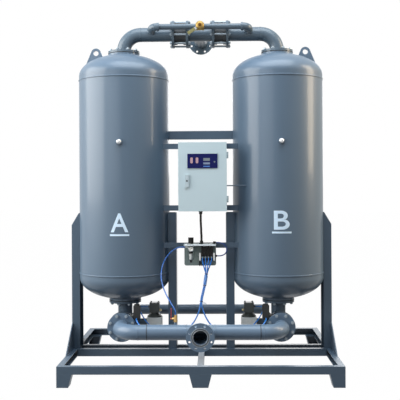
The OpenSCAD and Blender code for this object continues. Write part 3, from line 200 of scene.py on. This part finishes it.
lay_cord("box_to_panel_cable", "control_cable", [
    (0, -315, 1302), (0, -315, 1286), (0, -315, 1270), (0, -314, 1255), (0, -313, 1240), (1, -310, 1215),
    (2, -305, 1188), (3, -302, 1174), (3, -299, 1160), (3, -296, 1146), (4, -293, 1132), (5, -289, 1115),
    (5, -285, 1098), (5, -285, 1081), (5, -285, 1064),
], cable_diameter, cable_black)


def bundle(x, y):
    """The way of one of the four bundled tubes down to where they fan out."""
    return [(x + 38, y - 273, 800), (x + 31, y - 277, 752), (x + 22, y - 282, 700), (x + 11, y - 286, 652),
            (x, y - 290, 605), (x - 6, y - 294, 555)]


def mirrored(route):
    """A route on the other side of the dryer."""
    return [(-x, y, z) for x, y, z in route]


to_exhaust = [
    (18, -297, 500), (42, -299, 442), (76, -301, 392), (130, -302, 352), (200, -298, 336), (270, -290, 330),
    (340, -276, 336), (400, -254, 356), (448, -224, 390), (484, -190, 430), (512, -148, 469.8),
    (525, -105, 493.8), (513, -72, 499.8), (485, -60, 499.8), (470, -60, 499.8), (455, -60, 499.8),
]
to_inlet = [
    (18, -309, 500), (42, -312, 442), (76, -315, 392), (130, -320, 352), (190, -330, 335), (255, -346, 329),
    (320, -366, 331), (380, -386, 341), (430, -402, 357), (472, -408, 381), (501, -398, 406.6),
    (518, -377, 426.6), (527, -354, 438.6), (528, -337, 440.6), (528, -320, 440.6),
]
lay_cord("exhaust_signal_tube_a", "exhaust_tube_a", [
    (13, -279, 932), (13, -279, 917), (18, -278, 880), (28, -275, 842),
    *bundle(0, 0), *mirrored(to_exhaust),
], tube_diameter, tube_blue)
lay_cord("inlet_signal_tube_a", "inlet_tube_a", [
    (38, -279, 932), (38, -279, 917), (38, -281, 880), (38, -283, 842),
    *bundle(0, -12), *mirrored(to_inlet),
], tube_diameter, tube_blue)
lay_cord("inlet_signal_tube_b", "inlet_tube_b", [
    (63, -279, 932), (63, -279, 917), (57, -281, 880), (51, -283, 842),
    *bundle(11, -12), *to_inlet,
], tube_diameter, tube_blue)
lay_cord("exhaust_signal_tube_b", "exhaust_tube_b", [
    (88, -279, 932), (88, -279, 917), (77, -278, 880), (62, -275, 842),
    *bundle(11, 0), *to_exhaust,
], tube_diameter, tube_blue)


# Skid: mitred channel rails, bearers and folded feet, welded together and painted with satin enamel.
# The dryer stands on its feet, and the towers' legs stand on its side rails.
def eased(place, radius):
    """The normal of a piece whose sharp edges are rounded off."""
    return place.node("ShaderNodeBevel", {"samples": 4}, {"Radius": radius})


def enamel(name, colour, roughness, gloss=0.06, haze=0.25):
    """Sprayed enamel on steel: orange peel, slight unevenness, and edges that round off and wear paler."""
    made, place, feed = open_finish(name, specular_ior_level=0.32, coat_weight=gloss, coat_roughness=haze)
    cloudy = speckle(place, 5, detail=5)
    rounded = eased(place, 0.0025)
    flat = place.node("ShaderNodeNewGeometry", out="Normal")
    product = {"operation": "DOT_PRODUCT"}
    along = rounded.node("ShaderNodeVectorMath", product, {0: rounded, 1: flat}, "Value")
    worn = (1 - along) * (0.5 + cloudy)
    feed("Base Color", between(worn, between(cloudy, shade(colour, 0.93), colour), shade(colour, 1.8)))
    feed("Roughness", uneven(roughness, 0.06, cloudy))
    feed("Normal", dented(speckle(place, 260), strength=0.05, depth=0.0005, normal=rounded))
    return made


def dress(finish, *names):
    """Gives CAD nodes their finish."""
    for name in names:
        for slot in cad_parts[name].material_slots:
            slot.material = finish


frame_enamel = enamel("frame_enamel", tint(0.262, 0.328, 0.393), 0.42)
dress(frame_enamel, "skid_end_rails", "skid_side_rails", "skid_bearers", "skid_ties", "skid_feet")

# Legs: channel legs with gussets, cut to the towers' curve and welded to shells and rails.
# They are painted with the skid.
dress(frame_enamel, "tower_a_legs", "tower_b_legs")


# Towers: rolled plate shells with dished heads, pads and lugs, welded round their seams and painted.
# Each is marked with its letter, cut from pale film and pressed onto the shell.
def add_piece(name, shape, finish, body="dryer"):
    """Closes a bmesh into a piece of the dryer that rides on a body."""
    bmesh.ops.recalc_face_normals(shape, faces=shape.faces[:])
    for face in shape.faces:
        face.smooth = True
    mesh = bpy.data.meshes.new(name)
    shape.to_mesh(mesh)
    shape.free()
    mesh.set_sharp_from_angle(angle=radians(35))
    mesh.materials.append(finish)
    made = new_object(name, mesh)
    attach(made, body)


def stand(shape, centre, along):
    """Turns a shape made round Z to another direction and puts it in its place."""
    turn = Vector(along).to_track_quat("Z", "Y").to_matrix().to_4x4()
    bmesh.ops.transform(shape, matrix=Matrix.Translation(centre) @ turn, verts=shape.verts[:])


def outlined(outline):
    """A bmesh with the closed outline of a section, from its (radius, height) points in metres."""
    shape = bmesh.new()
    points = [shape.verts.new((r, 0, h)) for r, h in outline]
    for first, second in zip(points, points[1:] + points[:1]):
        shape.edges.new((first, second))
    return shape


def add_ring(name, outline, steps, centre, along, finish):
    """A ring, turned round Z from the outline of its section and put in its place."""
    shape = outlined(outline)
    bmesh.ops.spin(shape, geom=shape.verts[:] + shape.edges[:], cent=(0, 0, 0), axis=(0, 0, 1),
                   angle=2 * pi, steps=steps, use_merge=True)
    bmesh.ops.remove_doubles(shape, verts=shape.verts[:], dist=1e-6)
    stand(shape, centre, along)
    add_piece(name, shape, finish)


def weld(name, centre, along, radius, bead, finish, steps=64):
    """A flattened weld bead round a pipe or a shell."""
    turns = [i * pi / 4 for i in range(8)]
    outline = [(radius + bead * 0.75 * cos(turn), bead * sin(turn)) for turn in turns]
    add_ring(name, outline, steps, centre, along, finish)


sides = (("a", -1), ("b", 1))
upward, rightward = (0, 0, 1), (1, 0, 0)
tower_apart = 0.650
tower_depth = -0.060
shell_radius = 0.380
seam_bead = 0.0065
pad_radius = 0.135
pad_thickness = 0.018
pad_bead = 0.004
film_half = 0.0004
film_gap = 0.0003
letter_tall = 0.152
letter_swell = 0.012
underline = (0.157, 0.015, 2 * film_half)
underline_drop = 0.023
film_strip = 0.0083
tower_enamel = enamel("tower_enamel", tint(0.312, 0.382, 0.452), 0.42, gloss=0.2, haze=0.13)
dress(tower_enamel, "tower_a_shell", "tower_b_shell", "tower_a_top_head", "tower_b_top_head",
      "tower_a_bottom_head", "tower_b_bottom_head", "lifting_lugs")
letter_film, place, feed = open_finish("letter_film", roughness=0.35)
feed("Base Color", between(speckle(place, 90, detail=4), tint(0.74, 0.83, 0.92), tint(0.84, 0.91, 0.97)))


def press_letter(letter, across, wide, foot):
    """A tower's letter and its underline, drawn flat, cut into strips and bent round the shell."""
    words = bpy.data.curves.new(f"tower_{letter}_letter_outline", "FONT")
    words.body = letter.upper()
    words.extrude = film_half
    words.offset = letter_swell
    flat = new_object(words.name, words)
    bpy.context.view_layer.update()
    drawn = bpy.data.meshes.new_from_object(flat.evaluated_get(bpy.context.evaluated_depsgraph_get()))
    bpy.data.objects.remove(flat)
    mark = bmesh.new()
    mark.from_mesh(drawn)
    bmesh.ops.remove_doubles(mark, verts=mark.verts[:], dist=1e-5)
    low = Vector([min(v.co[i] for v in mark.verts) for i in range(3)])
    high = Vector([max(v.co[i] for v in mark.verts) for i in range(3)])
    for v in mark.verts:
        v.co.x = ((v.co.x - low.x) / (high.x - low.x) - 0.5) * wide
        v.co.y = (v.co.y - low.y) / (high.y - low.y) * letter_tall + foot
    middle = Matrix.Translation((0, foot - underline_drop, 0))
    bmesh.ops.create_cube(mark, size=1, matrix=middle @ Matrix.Diagonal((*underline, 1)))
    for cut in range(-9, 10):
        bmesh.ops.bisect_plane(mark, geom=mark.verts[:] + mark.edges[:] + mark.faces[:],
                               plane_co=(cut * film_strip, 0, 0), plane_no=rightward)
    for v in mark.verts:
        out = shell_radius + film_gap + film_half + v.co.z
        turn = v.co.x / shell_radius
        v.co = (across + out * sin(turn), tower_depth - out * cos(turn), v.co.y)
    add_piece(f"tower_{letter}_letter", mark, letter_film)


for letter, side in sides:
    tower = (side * tower_apart, tower_depth)
    shell_low, shell_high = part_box(f"tower_{letter}_shell")
    for seam, high in (("lower", shell_low.z), ("upper", shell_high.z)):
        weld(f"tower_{letter}_{seam}_seam", (*tower, high), upward, shell_radius, seam_bead, tower_enamel,
             steps=128)
    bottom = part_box(f"tower_{letter}_bottom_head")[0].z
    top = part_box(f"tower_{letter}_top_head")[1].z
    for pad, high in (("lower", bottom + pad_thickness), ("upper", top - pad_thickness)):
        weld(f"tower_{letter}_{pad}_pad_weld", (*tower, high), upward, pad_radius, pad_bead, tower_enamel)
    wide, foot = (0.142, 1.154) if letter == "a" else (0.126, 1.170)
    press_letter(letter, side * tower_apart, wide, foot)


# Tappings: turned and zinc plated plugs with round heads, screwed into bosses on the towers' fronts.
# They close the ports for a pressure gauge.
def plated(name, colour, roughness, metallic=1.0):
    """Plated or machined metal with fine scratches and a slightly uneven gloss."""
    made, place, feed = open_finish(name, metallic=metallic)
    cloudy = speckle(place, 60, detail=5)
    feed("Base Color", between(cloudy, shade(colour, 0.7), colour))
    feed("Roughness", uneven(roughness, 0.2, cloudy))
    feed("Normal", dented(speckle(place, 1400), strength=0.1, depth=0.0003, normal=eased(place, 0.0012)))
    return made


zinc = plated("zinc_plate", tint(0.76, 0.77, 0.78), 0.34)
dress(zinc, "port_plugs")

# Bolts and studs: rolled steel fasteners with forged nuts, drawn up through the flanges' holes.
# They are painted with the pipework, and their grey is made paler as painted highlight for the glints on
# their heads and ends.
bolt_paint_and_highlight = plated("bolt_paint_and_highlight", tint(0.58, 0.63, 0.67), 0.36, metallic=0.4)
dress(bolt_paint_and_highlight, "tower_flange_bolts", "check_valve_studs", "inlet_valve_studs")

# Inside the towers: perforated steel screens that hold beds of alumina beads.
# They are laid in before the heads are welded on.
dress(zinc, "flow_screens")
alumina, place, feed = open_finish("alumina_beads", roughness=0.8)
# The beads are white at their middles and greyer towards their rims: painted shade between the beads.
beads = place.node("ShaderNodeTexVoronoi", {}, {"Vector": place, "Scale": 220.0}, "Distance")
feed("Base Color", between(beads, tint(0.96, 0.95, 0.92), tint(0.62, 0.60, 0.56)))
feed("Normal", dented(1 - beads, strength=0.8, depth=0.003))
dress(alumina, "desiccant_beds")

# Bars between the towers: a box section tie bar and flat straps, cut to the shells and welded on.
# They are painted with the frame.
dress(frame_enamel, "tie_bar", "cross_bars")

# Gaskets: rings cut from dark sheet, clamped between the flanges.
# Those on the towers are squeezed out a little round the flanges' edges.
half_sheet = 0.0015
lip_inner, lip_edge, lip_outer = 0.1290, 0.1340, 0.1347
lip_outline = [
    (lip_inner, -half_sheet), (lip_edge, -2 * half_sheet), (lip_outer, -half_sheet),
    (lip_outer, half_sheet), (lip_edge, 2 * half_sheet), (lip_inner, half_sheet),
]
gasket_sheet = plastic("gasket_sheet", tint(0.11, 0.11, 0.115), 0.7, shine=0.2)
dress(gasket_sheet, "flange_gaskets")
for letter, side in sides:
    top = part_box(f"tower_{letter}_top_head")[1].z
    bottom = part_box(f"tower_{letter}_bottom_head")[0].z
    for end, high in (("upper", top + half_sheet), ("lower", bottom - half_sheet)):
        add_ring(f"tower_{letter}_{end}_gasket_lip", lip_outline, 128,
                 (side * tower_apart, tower_depth, high), upward, gasket_sheet)

# Outlet pipework: bent and straight steel pipe with flanges and purge branches, welded and painted.
# Long studs clamp the cast check valves between the flanges.
outlet_high = 2.810
outlet_radius = 0.059
outlet_bend = 0.142
flange_depth = 0.0235
pipe_bead = 0.003
outlet_enamel = enamel("outlet_enamel", tint(0.285, 0.345, 0.395), 0.38, gloss=0.15, haze=0.15)
dress(outlet_enamel, "outlet_pipe_a", "outlet_pipe_b", "outlet_tee", "purge_pipes")
dark_casting = plated("dark_casting", tint(0.22, 0.23, 0.24), 0.5, metallic=0.4)
dress(dark_casting, "check_valves")
valve_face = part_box("outlet_pipe_b")[0].x
tee_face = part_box("outlet_tee")[1].x
foot_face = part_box("outlet_pipe_b")[0].z
for letter, side in sides:
    for spot, out in (
        ("valve_end", valve_face + flange_depth),
        ("bend_end", tower_apart - outlet_bend),
        ("tee_end", tee_face - flange_depth),
    ):
        weld(f"outlet_{spot}_weld_{letter}", (side * out, tower_depth, outlet_high), rightward,
             outlet_radius, pipe_bead, outlet_enamel)
    weld(f"outlet_foot_weld_{letter}", (side * tower_apart, tower_depth, foot_face + flange_depth), upward,
         outlet_radius, pipe_bead, outlet_enamel)


# Purge valve: forged and turned brass ball valve in the purge line, with a plated lever on its stem.
# The lever's end is dipped in yellow vinyl.
def add_rod(shape, start, end, radius, steps=32):
    """Adds a rod between two points, round or with a few flat sides."""
    start, end = Vector(start), Vector(end)
    turn = (end - start).to_track_quat("Z", "Y").to_matrix().to_4x4()
    bmesh.ops.create_cone(shape, cap_ends=True, segments=steps, radius1=radius, radius2=radius,
                          depth=(end - start).length, matrix=Matrix.Translation((start + end) / 2) @ turn)


hexagon = 6
stem_high = 2.846
nut_back, nut_front, nut_radius = -0.2895, -0.2965, 0.0135
stem_back, stem_front, stem_radius = -0.2960, -0.3005, 0.0070
dress(plated("brass", tint(0.57, 0.475, 0.28), 0.5), "purge_valve")
dress(zinc, "purge_lever")
dress(plastic("yellow_vinyl", tint(0.45, 0.43, 0.255), 0.5), "purge_lever_grip")
stem_nut = bmesh.new()
add_rod(stem_nut, (0, nut_back, stem_high), (0, nut_front, stem_high), nut_radius, hexagon)
add_rod(stem_nut, (0, stem_back, stem_high), (0, stem_front, stem_high), stem_radius)
add_piece("purge_stem_nut", stem_nut, plated("dark_bronze", tint(0.36, 0.24, 0.13), 0.5))

# Inlet pipework: tees under the towers, swept elbows and a header with a front flange, welded and painted.
# Wafer valves with black actuators are clamped between the flanges.
forward, backward = (0, -1, 0), (0, 1, 0)
header_depth = -0.542
header_high = 0.370
header_radius = 0.0605
header_bend = 0.155
branch_radius = 0.0595
bore_radius = 0.0555
face_radius = 0.0720
face_height = 0.0014
edge_height = 0.0018
edge_ease = 0.0008
edge_shoulder = 0.0012
pipe_enamel = enamel("pipe_enamel", tint(0.350, 0.430, 0.515), 0.38, gloss=0.15, haze=0.15)
dark_seam = enamel("dark_seam", tint(0.13, 0.15, 0.18), 0.5)
# The tees under the towers take the darker frame enamel instead of the pipe enamel: painted shade for the
# shade under the towers.
dress(frame_enamel, "tower_tee_a", "tower_tee_b")
dress(pipe_enamel, "inlet_pipe_a", "inlet_pipe_b", "inlet_tee")
dress(dark_casting, "inlet_valves")
dress(plated("black_actuator_coat", tint(0.09, 0.095, 0.10), 0.5, metallic=0.1), "inlet_actuators")
inlet_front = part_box("inlet_tee")[0].y
inlet_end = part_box("inlet_tee")[1].x
for letter, side in sides:
    joint = 0.424 if letter == "a" else 0.470
    for spot, out, finish in (
        ("tee", inlet_end, pipe_enamel),
        ("joint", joint, dark_seam),
        ("bend", tower_apart - header_bend, pipe_enamel),
    ):
        weld(f"header_{spot}_weld_{letter}", (side * out, header_depth, header_high), rightward,
             header_radius, pipe_bead, finish)
    weld(f"elbow_weld_{letter}", (side * tower_apart, header_depth + header_bend, header_high), backward,
         header_radius, pipe_bead, pipe_enamel)
weld("inlet_flange_weld", (0, inlet_front + flange_depth, header_high), backward, branch_radius, pipe_bead,
     pipe_enamel)
inlet_face = (0, inlet_front, header_high)
raised_outline = [
    (bore_radius, 0), (face_radius, 0), (face_radius, face_height), (bore_radius, face_height),
]
face_primer = enamel("face_primer", tint(0.28, 0.31, 0.34), 0.45)
add_ring("inlet_raised_face", raised_outline, 96, inlet_face, forward, face_primer)
machined = plated("machined_steel", tint(0.66, 0.68, 0.70), 0.45)
for edge, inner, outer in (("bore", bore_radius, 0.0578), ("rim", 0.0702, 0.0724)):
    edge_outline = [
        (inner, 0), (outer, 0), (outer, edge_shoulder), (outer - edge_ease, edge_height),
        (inner, edge_height),
    ]
    add_ring(f"inlet_{edge}_edge", edge_outline, 96, inlet_face, forward, machined)

# Exhaust: cast aluminium angle valves with dark piston actuators, and the pipe for the purged air.
# The pipe is welded and painted, and runs behind the towers. Brass plugs close the actuators' vents.
vent_high = 0.470
dress(plated("pale_casting", tint(0.76, 0.78, 0.78), 0.55, metallic=0.5), "exhaust_valves")
dress(plated("olive_coat", tint(0.25, 0.27, 0.265), 0.45, metallic=0.2), "exhaust_actuators")
dress(pipe_enamel, "exhaust_pipe")
vents = bmesh.new()
for side in (-1, 1):
    for near, far, radius, steps in ((0.3595, 0.350, 0.0125, hexagon), (0.351, 0.341, 0.009, 32)):
        start, end = [(side * out, tower_depth, vent_high) for out in (near, far)]
        add_rod(vents, start, end, radius, steps)
add_piece("actuator_vent_plugs", vents, plated("pale_brass", tint(0.86, 0.80, 0.62), 0.35))

# Sample valve: a small forged brass ball valve with a red coated steel lever.
# It is screwed into the header, and the air supply tube is pushed into its outlet.
dress(plated("bright_brass", tint(0.76, 0.63, 0.42), 0.42), "sample_valve")
dress(enamel("red_coat", tint(0.80, 0.16, 0.12), 0.4), "sample_lever")


# Control box: a folded steel box with a hinged door, coated with pale textured powder.
# The display's housing goes through the door, and a turning handle locks it.
def add_box(shape, low, high, edge=0.0, only=None):
    """Adds a box between two corners. Its edges, or only those along one axis, are rounded off."""
    low, high = Vector(low), Vector(high)
    size = Matrix.Diagonal((*(high - low), 1))
    made = bmesh.ops.create_cube(shape, size=1, matrix=Matrix.Translation((low + high) / 2) @ size)
    edges = {e for v in made["verts"] for e in v.link_edges}
    if only is not None:
        edges = {e for e in edges if abs((e.verts[0].co - e.verts[1].co)[only]) > 1e-6}
    if edge:
        bmesh.ops.bevel(shape, geom=list(edges), offset=edge, affect="EDGES", segments=4, profile=0.5,
                        material=-1)


def powder(name, colour):
    """Baked powder coat with a fine leathery texture."""
    made, place, feed = open_finish(name)
    cloudy = speckle(place, 6, detail=4)
    pebble = speckle(place, 700, detail=1)
    feed("Base Color", between(cloudy, shade(colour, 0.93), colour))
    feed("Roughness", uneven(0.48, 0.12, cloudy))
    feed("Normal", dented(pebble, strength=0.12, depth=0.0006, normal=eased(place, 0.003)))
    return made


front_to_back = 1
lock_across, lock_high, lock_radius = -0.107, 1.563, 0.0070
lock_back, lock_front = -0.4325, -0.4334
cover_low, cover_high, cover_edge = (-0.0915, -0.4004, 1.6765), (0.1275, -0.3780, 1.7695), 0.002
lamp_low, lamp_high, lamp_corner = 1.7043, 1.7517, 0.009
screen_left, screen_right, screen_corner = 0.0253, 0.0780, 0.001
window_front, window_back = -0.4252, -0.4240
stripe_front, stripe_back, stripe_low, stripe_high = -0.4258, -0.4254, 1.677, 1.683
dress(powder("box_powder", tint(0.705, 0.775, 0.805)), "control_box", "control_door")
dress(plastic("display_overlay", tint(0.07, 0.09, 0.31), 0.45, shine=0.12), "display")
black_plastic = plastic("black_moulding", tint(0.08, 0.08, 0.085), 0.45, shine=0.22)
dress(black_plastic, "cable_glands", "regulator_knob")
dress(plated("satin_nickel", tint(0.67, 0.73, 0.76), 0.45, metallic=0.5), "door_handle")
keyhole = bmesh.new()
add_rod(keyhole, (lock_across, lock_back, lock_high), (lock_across, lock_front, lock_high), lock_radius)
add_piece("lock_cylinder", keyhole, black_plastic, "lock")
lens = plastic("lamp_lens", tint(0.74, 0.60, 0.62), 0.25, shine=0.3)
grey_glass = plastic("screen_glass", tint(0.46, 0.50, 0.52), 0.15)
blue_glass = plastic("lower_screen_glass", tint(0.50, 0.56, 0.66), 0.15)
for name, finish, left, right, low, high, corner in (
    ("left_lamp_lens", lens, -0.0797, -0.0592, lamp_low, lamp_high, lamp_corner),
    ("right_lamp_lens", lens, -0.0357, -0.0152, lamp_low, lamp_high, lamp_corner),
    ("upper_screen", grey_glass, screen_left, screen_right, 1.7233, 1.7459, screen_corner),
    ("lower_screen", blue_glass, screen_left, screen_right, 1.6955, 1.7111, screen_corner),
    ("reset_button", grey_glass, 0.1081, 0.1215, 1.7093, 1.7227, 0.0066),
):
    inlay = bmesh.new()
    add_box(inlay, (left, window_front, low), (right, window_back, high), corner, front_to_back)
    add_piece(name, inlay, finish, "door")
stripe = bmesh.new()
add_box(stripe, (screen_left, stripe_front, stripe_low), (screen_right, stripe_back, stripe_high))
stripe_film = plastic("stripe_film", tint(0.34, 0.56, 0.86), 0.3)
add_piece("display_stripe", stripe, stripe_film, "door")
cover = bmesh.new()
add_box(cover, cover_low, cover_high, cover_edge)
add_piece("display_back_cover", cover, black_plastic, "door")

# Equipment in the box: moulded terminals on a rail, a controller and a power unit, snapped or screwed on.
# They stand on a galvanised plate at the back of the box.
equipment_left = -0.0936
terminal_pitch = 0.018135
terminal_wide = 0.0129
terminal_front, terminal_back = -0.2944, -0.2558
terminal_low, terminal_high, terminal_edge = 1.4265, 1.4853, 0.0012
case_low, case_high, case_back, case_edge = 1.5684, 1.6580, -0.2483, 0.002
dress(plated("equipment_plate", tint(0.80, 0.80, 0.78), 0.4, metallic=0.6), "mounting_plate")
terminal_grey = plastic("terminal_grey", tint(0.60, 0.61, 0.58), 0.45)
terminal_blue = plastic("terminal_blue", tint(0.22, 0.40, 0.66), 0.45)
terminal_green = plastic("terminal_green", tint(0.44, 0.56, 0.20), 0.45)
for i, finish in enumerate([terminal_grey] * 8 + [terminal_blue] * 3 + [terminal_green]):
    left = equipment_left + i * terminal_pitch
    right = left + terminal_wide
    block = bmesh.new()
    add_box(block, (left, terminal_front, terminal_low), (right, terminal_back, terminal_high),
            terminal_edge)
    add_piece(f"terminal_{i + 1}", block, finish)
graphite = plastic("controller_graphite", tint(0.24, 0.26, 0.28), 0.45)
ivory = plastic("power_unit_ivory", tint(0.80, 0.79, 0.73), 0.45)
for name, finish, left, right, face in (
    ("controller_case", graphite, equipment_left, 0.0378, -0.3084),
    ("power_unit_case", ivory, 0.0660, 0.1320, -0.3144),
):
    case = bmesh.new()
    add_box(case, (left, face, case_low), (right, case_back, case_high), case_edge)
    add_piece(name, case, finish)

# Pneumatic panel: a folded sheet with a shelf, painted satin, screwed to its bar.
# The filter regulator hangs under the shelf beside the row of solenoid valves on their manifold.
regulator_across = -0.082
regulator_depth = -0.284
gauge_front = -0.322
gauge_high = 1.00944
dial_radius = 0.0174
needle_tail, needle_tip = (-0.0880, -0.3212, 1.0030), (-0.0740, -0.3212, 1.0185)
needle_radius, hub_radius = 0.0008, 0.0022
lock_ring_foot = 0.968
bowl_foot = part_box("air_regulator")[0].z
strip_low, strip_high = (-0.1378, -0.3304, 1.0345), (0.1238, -0.3298, 1.0478)
plate_front, plate_back = -0.2690, -0.2338
plate_low, plate_high, plate_edge = 0.9085, 0.9720, 0.0015
dress(powder("panel_satin", tint(0.45, 0.51, 0.505)), "valve_panel")
dress(plastic("regulator_body", tint(0.80, 0.82, 0.82), 0.3), "air_regulator")
dress(black_plastic, "solenoid_valves")
edge_strip = bmesh.new()
add_box(edge_strip, strip_low, strip_high)
add_piece("shelf_edge_strip", edge_strip, powder("strip_satin", tint(0.86, 0.90, 0.93)))


def on_gauge(depth):
    """A point on the gauge's axis."""
    return (regulator_across, depth, gauge_high)


add_ring("gauge_rim", [
    (0.0176, 0.0110), (0.0200, 0.0110), (0.0202, -0.0005), (0.0190, -0.0012), (0.0176, -0.0005),
], 64, on_gauge(gauge_front), backward,
    plated("gauge_rim_steel", tint(0.55, 0.57, 0.58), 0.3))
dial = bmesh.new()
add_rod(dial, on_gauge(-0.3203), on_gauge(-0.3208), dial_radius, 64)
add_piece("gauge_dial", dial, plastic("gauge_dial_card", tint(0.95, 0.95, 0.93), 0.35))
needle = bmesh.new()
add_rod(needle, needle_tail, needle_tip, needle_radius, 12)
add_rod(needle, on_gauge(-0.3207), on_gauge(-0.3220), hub_radius, 24)
add_piece("gauge_needle", needle, black_plastic)
add_ring("regulator_lock_ring", [
    (0.0100, 0.0160), (0.0128, 0.0160), (0.0130, 0.0150), (0.0130, 0.0010), (0.0128, 0), (0.0100, 0),
], 48, (regulator_across, regulator_depth, lock_ring_foot), upward, black_plastic)
add_ring("bowl_drain", [
    (0.0040, 0.0232), (0.0090, 0.0232), (0.0090, 0.0055), (0.0064, 0.0030), (0.0064, -0.0004),
    (0.0040, -0.0004),
], 48, (regulator_across, regulator_depth, bowl_foot), upward, black_plastic)
plates = bmesh.new()
for left, right in ((-0.0155, -0.0010), (0.1002, 0.1145)):
    add_box(plates, (left, plate_front, plate_low), (right, plate_back, plate_high), plate_edge)
plate_aluminium = plated("plate_aluminium", tint(0.86, 0.87, 0.87), 0.4, metallic=0.7)
add_piece("manifold_end_plates", plates, plate_aluminium)

# Tube fittings: grey release collars at the manifold's ports, nylon ties and a spiral of pale blue strip.
# The collars are moulded and snapped in, and the ties and the wrap hold the four tubes together.
port_depth = -0.279
collar_foot = 0.9315
collar_grey = plastic("collar_grey", tint(0.48, 0.55, 0.60), 0.35)
for port in (13, 38, 63, 88):
    add_ring(f"tube_collar_{port}", [
        (0.0052, 0), (0.0078, 0), (0.0080, 0.0010), (0.0080, 0.0120), (0.0052, 0.0120),
    ], 40, (port / 1000, port_depth, collar_foot), upward, collar_grey)
tie_inner, tie_outer, tie_half = 0.0130, 0.0145, 0.0025
tie_outline = [(tie_inner, -tie_half), (tie_outer, -tie_half), (tie_outer, tie_half), (tie_inner, tie_half)]
tie_nylon = plastic("tie_nylon", tint(0.06, 0.14, 0.34), 0.4)
for name, centre, along in (
    ("upper", (0.0435, -0.2790, 0.800), (-0.007, -0.004, -0.048)),
    ("middle", (0.0290, -0.2873, 0.708), (-0.009, -0.005, -0.052)),
    ("lower", (0.0020, -0.2980, 0.578), (-0.006, -0.004, -0.050)),
):
    add_ring(f"{name}_tube_tie", tie_outline, 40, centre, along, tie_nylon)
wrap_turns = 7
wrap_steps = 28
wrap_pitch = 0.0108
wrap_start, wrap_along = (0.0428, -0.2794, 0.7955), (-0.0145, -0.0083, -0.0920)
wrap = outlined([(0.0132, 0), (0.0144, 0.0006), (0.0144, 0.0080), (0.0132, 0.0086)])
bmesh.ops.spin(wrap, geom=wrap.verts[:] + wrap.edges[:], cent=(0, 0, 0), axis=(0, 0, 1),
               dvec=(0, 0, wrap_pitch / wrap_steps), angle=wrap_turns * 2 * pi,
               steps=wrap_turns * wrap_steps)
bmesh.ops.holes_fill(wrap, edges=[e for e in wrap.edges if e.is_boundary], sides=4)
stand(wrap, wrap_start, wrap_along)
wrap_blue = plastic("wrap_blue", tint(0.40, 0.60, 0.88), 0.35, tube_grain)
add_piece("spiral_tube_wrap", wrap, wrap_blue)


# Studio: a plain floor of pale paper, white behind the dryer, with soft lamps on both sides and above.
# Floor and world are white to the camera and in reflections, and the floor keeps a little of the shadow.
def background_rays(tone):
    """One for the rays that show the background: straight from the camera, reflected or through glass."""
    kinds = ("Camera", "Glossy", "Transmission")
    straight, glossy, through = [tone.node("ShaderNodeLightPath", out=f"Is {kind} Ray") for kind in kinds]
    return straight + glossy + through


white_share = 0.985
dim = 0.05
floor_shape = bmesh.new()
bmesh.ops.create_grid(floor_shape, x_segments=1, y_segments=1, size=40)
floor_mesh = bpy.data.meshes.new("studio_floor")
floor_shape.to_mesh(floor_mesh)
floor_shape.free()
new_object("studio_floor", floor_mesh)
paper, place, feed = open_finish("white_paper", roughness=0.9)
feed("Base Color", between(speckle(place, 3), tint(0.26, 0.26, 0.26), tint(0.28, 0.28, 0.28)))
lit = Tone(paper.node_tree, paper.node_tree.nodes["Principled BSDF"].outputs[0])
glow = place.node("ShaderNodeEmission", {}, {"Color": (1, 1, 1, 1), "Strength": 1.01})
both = place.node("ShaderNodeMixShader", {}, {0: background_rays(place) * white_share, 1: lit, 2: glow})
paper.node_tree.links.new(both.socket, paper.node_tree.nodes["Material Output"].inputs["Surface"])
floor_mesh.materials.append(paper)

world = bpy.data.worlds.new("studio")
world.use_nodes = True
bpy.context.scene.world = world
sky = world.node_tree.nodes["Background"]
sky.inputs["Color"].default_value = (1, 1, 1, 1)
strength = dim + (1 - dim) * background_rays(Tone(world.node_tree))
world.node_tree.links.new(strength.socket, sky.inputs["Strength"])
aim = Vector((0, -0.1, 1.45))
for name, spot, wide, high, power, colour in (
    ("left_softbox", (-5.2, -1.5, 3.5), 5.5, 4.7, 650, (1, 0.985, 0.94)),
    ("right_softbox", (4.7, -0.5, 3.5), 1.6, 3.9, 290, (1, 0.82, 0.60)),
    ("top_softbox", (0.2, -1.6, 6.0), 4.5, 3.5, 385, (0.85, 0.93, 1)),
    ("back_fill", (0.8, 7.0, 3.2), 5.0, 3.0, 150, (1, 1, 1)),
    ("front_fill", (-3.2, -7.2, 3.0), 4.0, 3.0, 95, (1, 1, 1)),
):
    lamp = bpy.data.lights.new(name, "AREA")
    lamp.shape = "RECTANGLE"
    lamp.size = wide
    lamp.size_y = high
    lamp.energy = power
    lamp.color = colour
    held = new_object(name, lamp)
    held.location = spot
    held.rotation_euler = (aim - Vector(spot)).to_track_quat("-Z", "Y").to_euler()
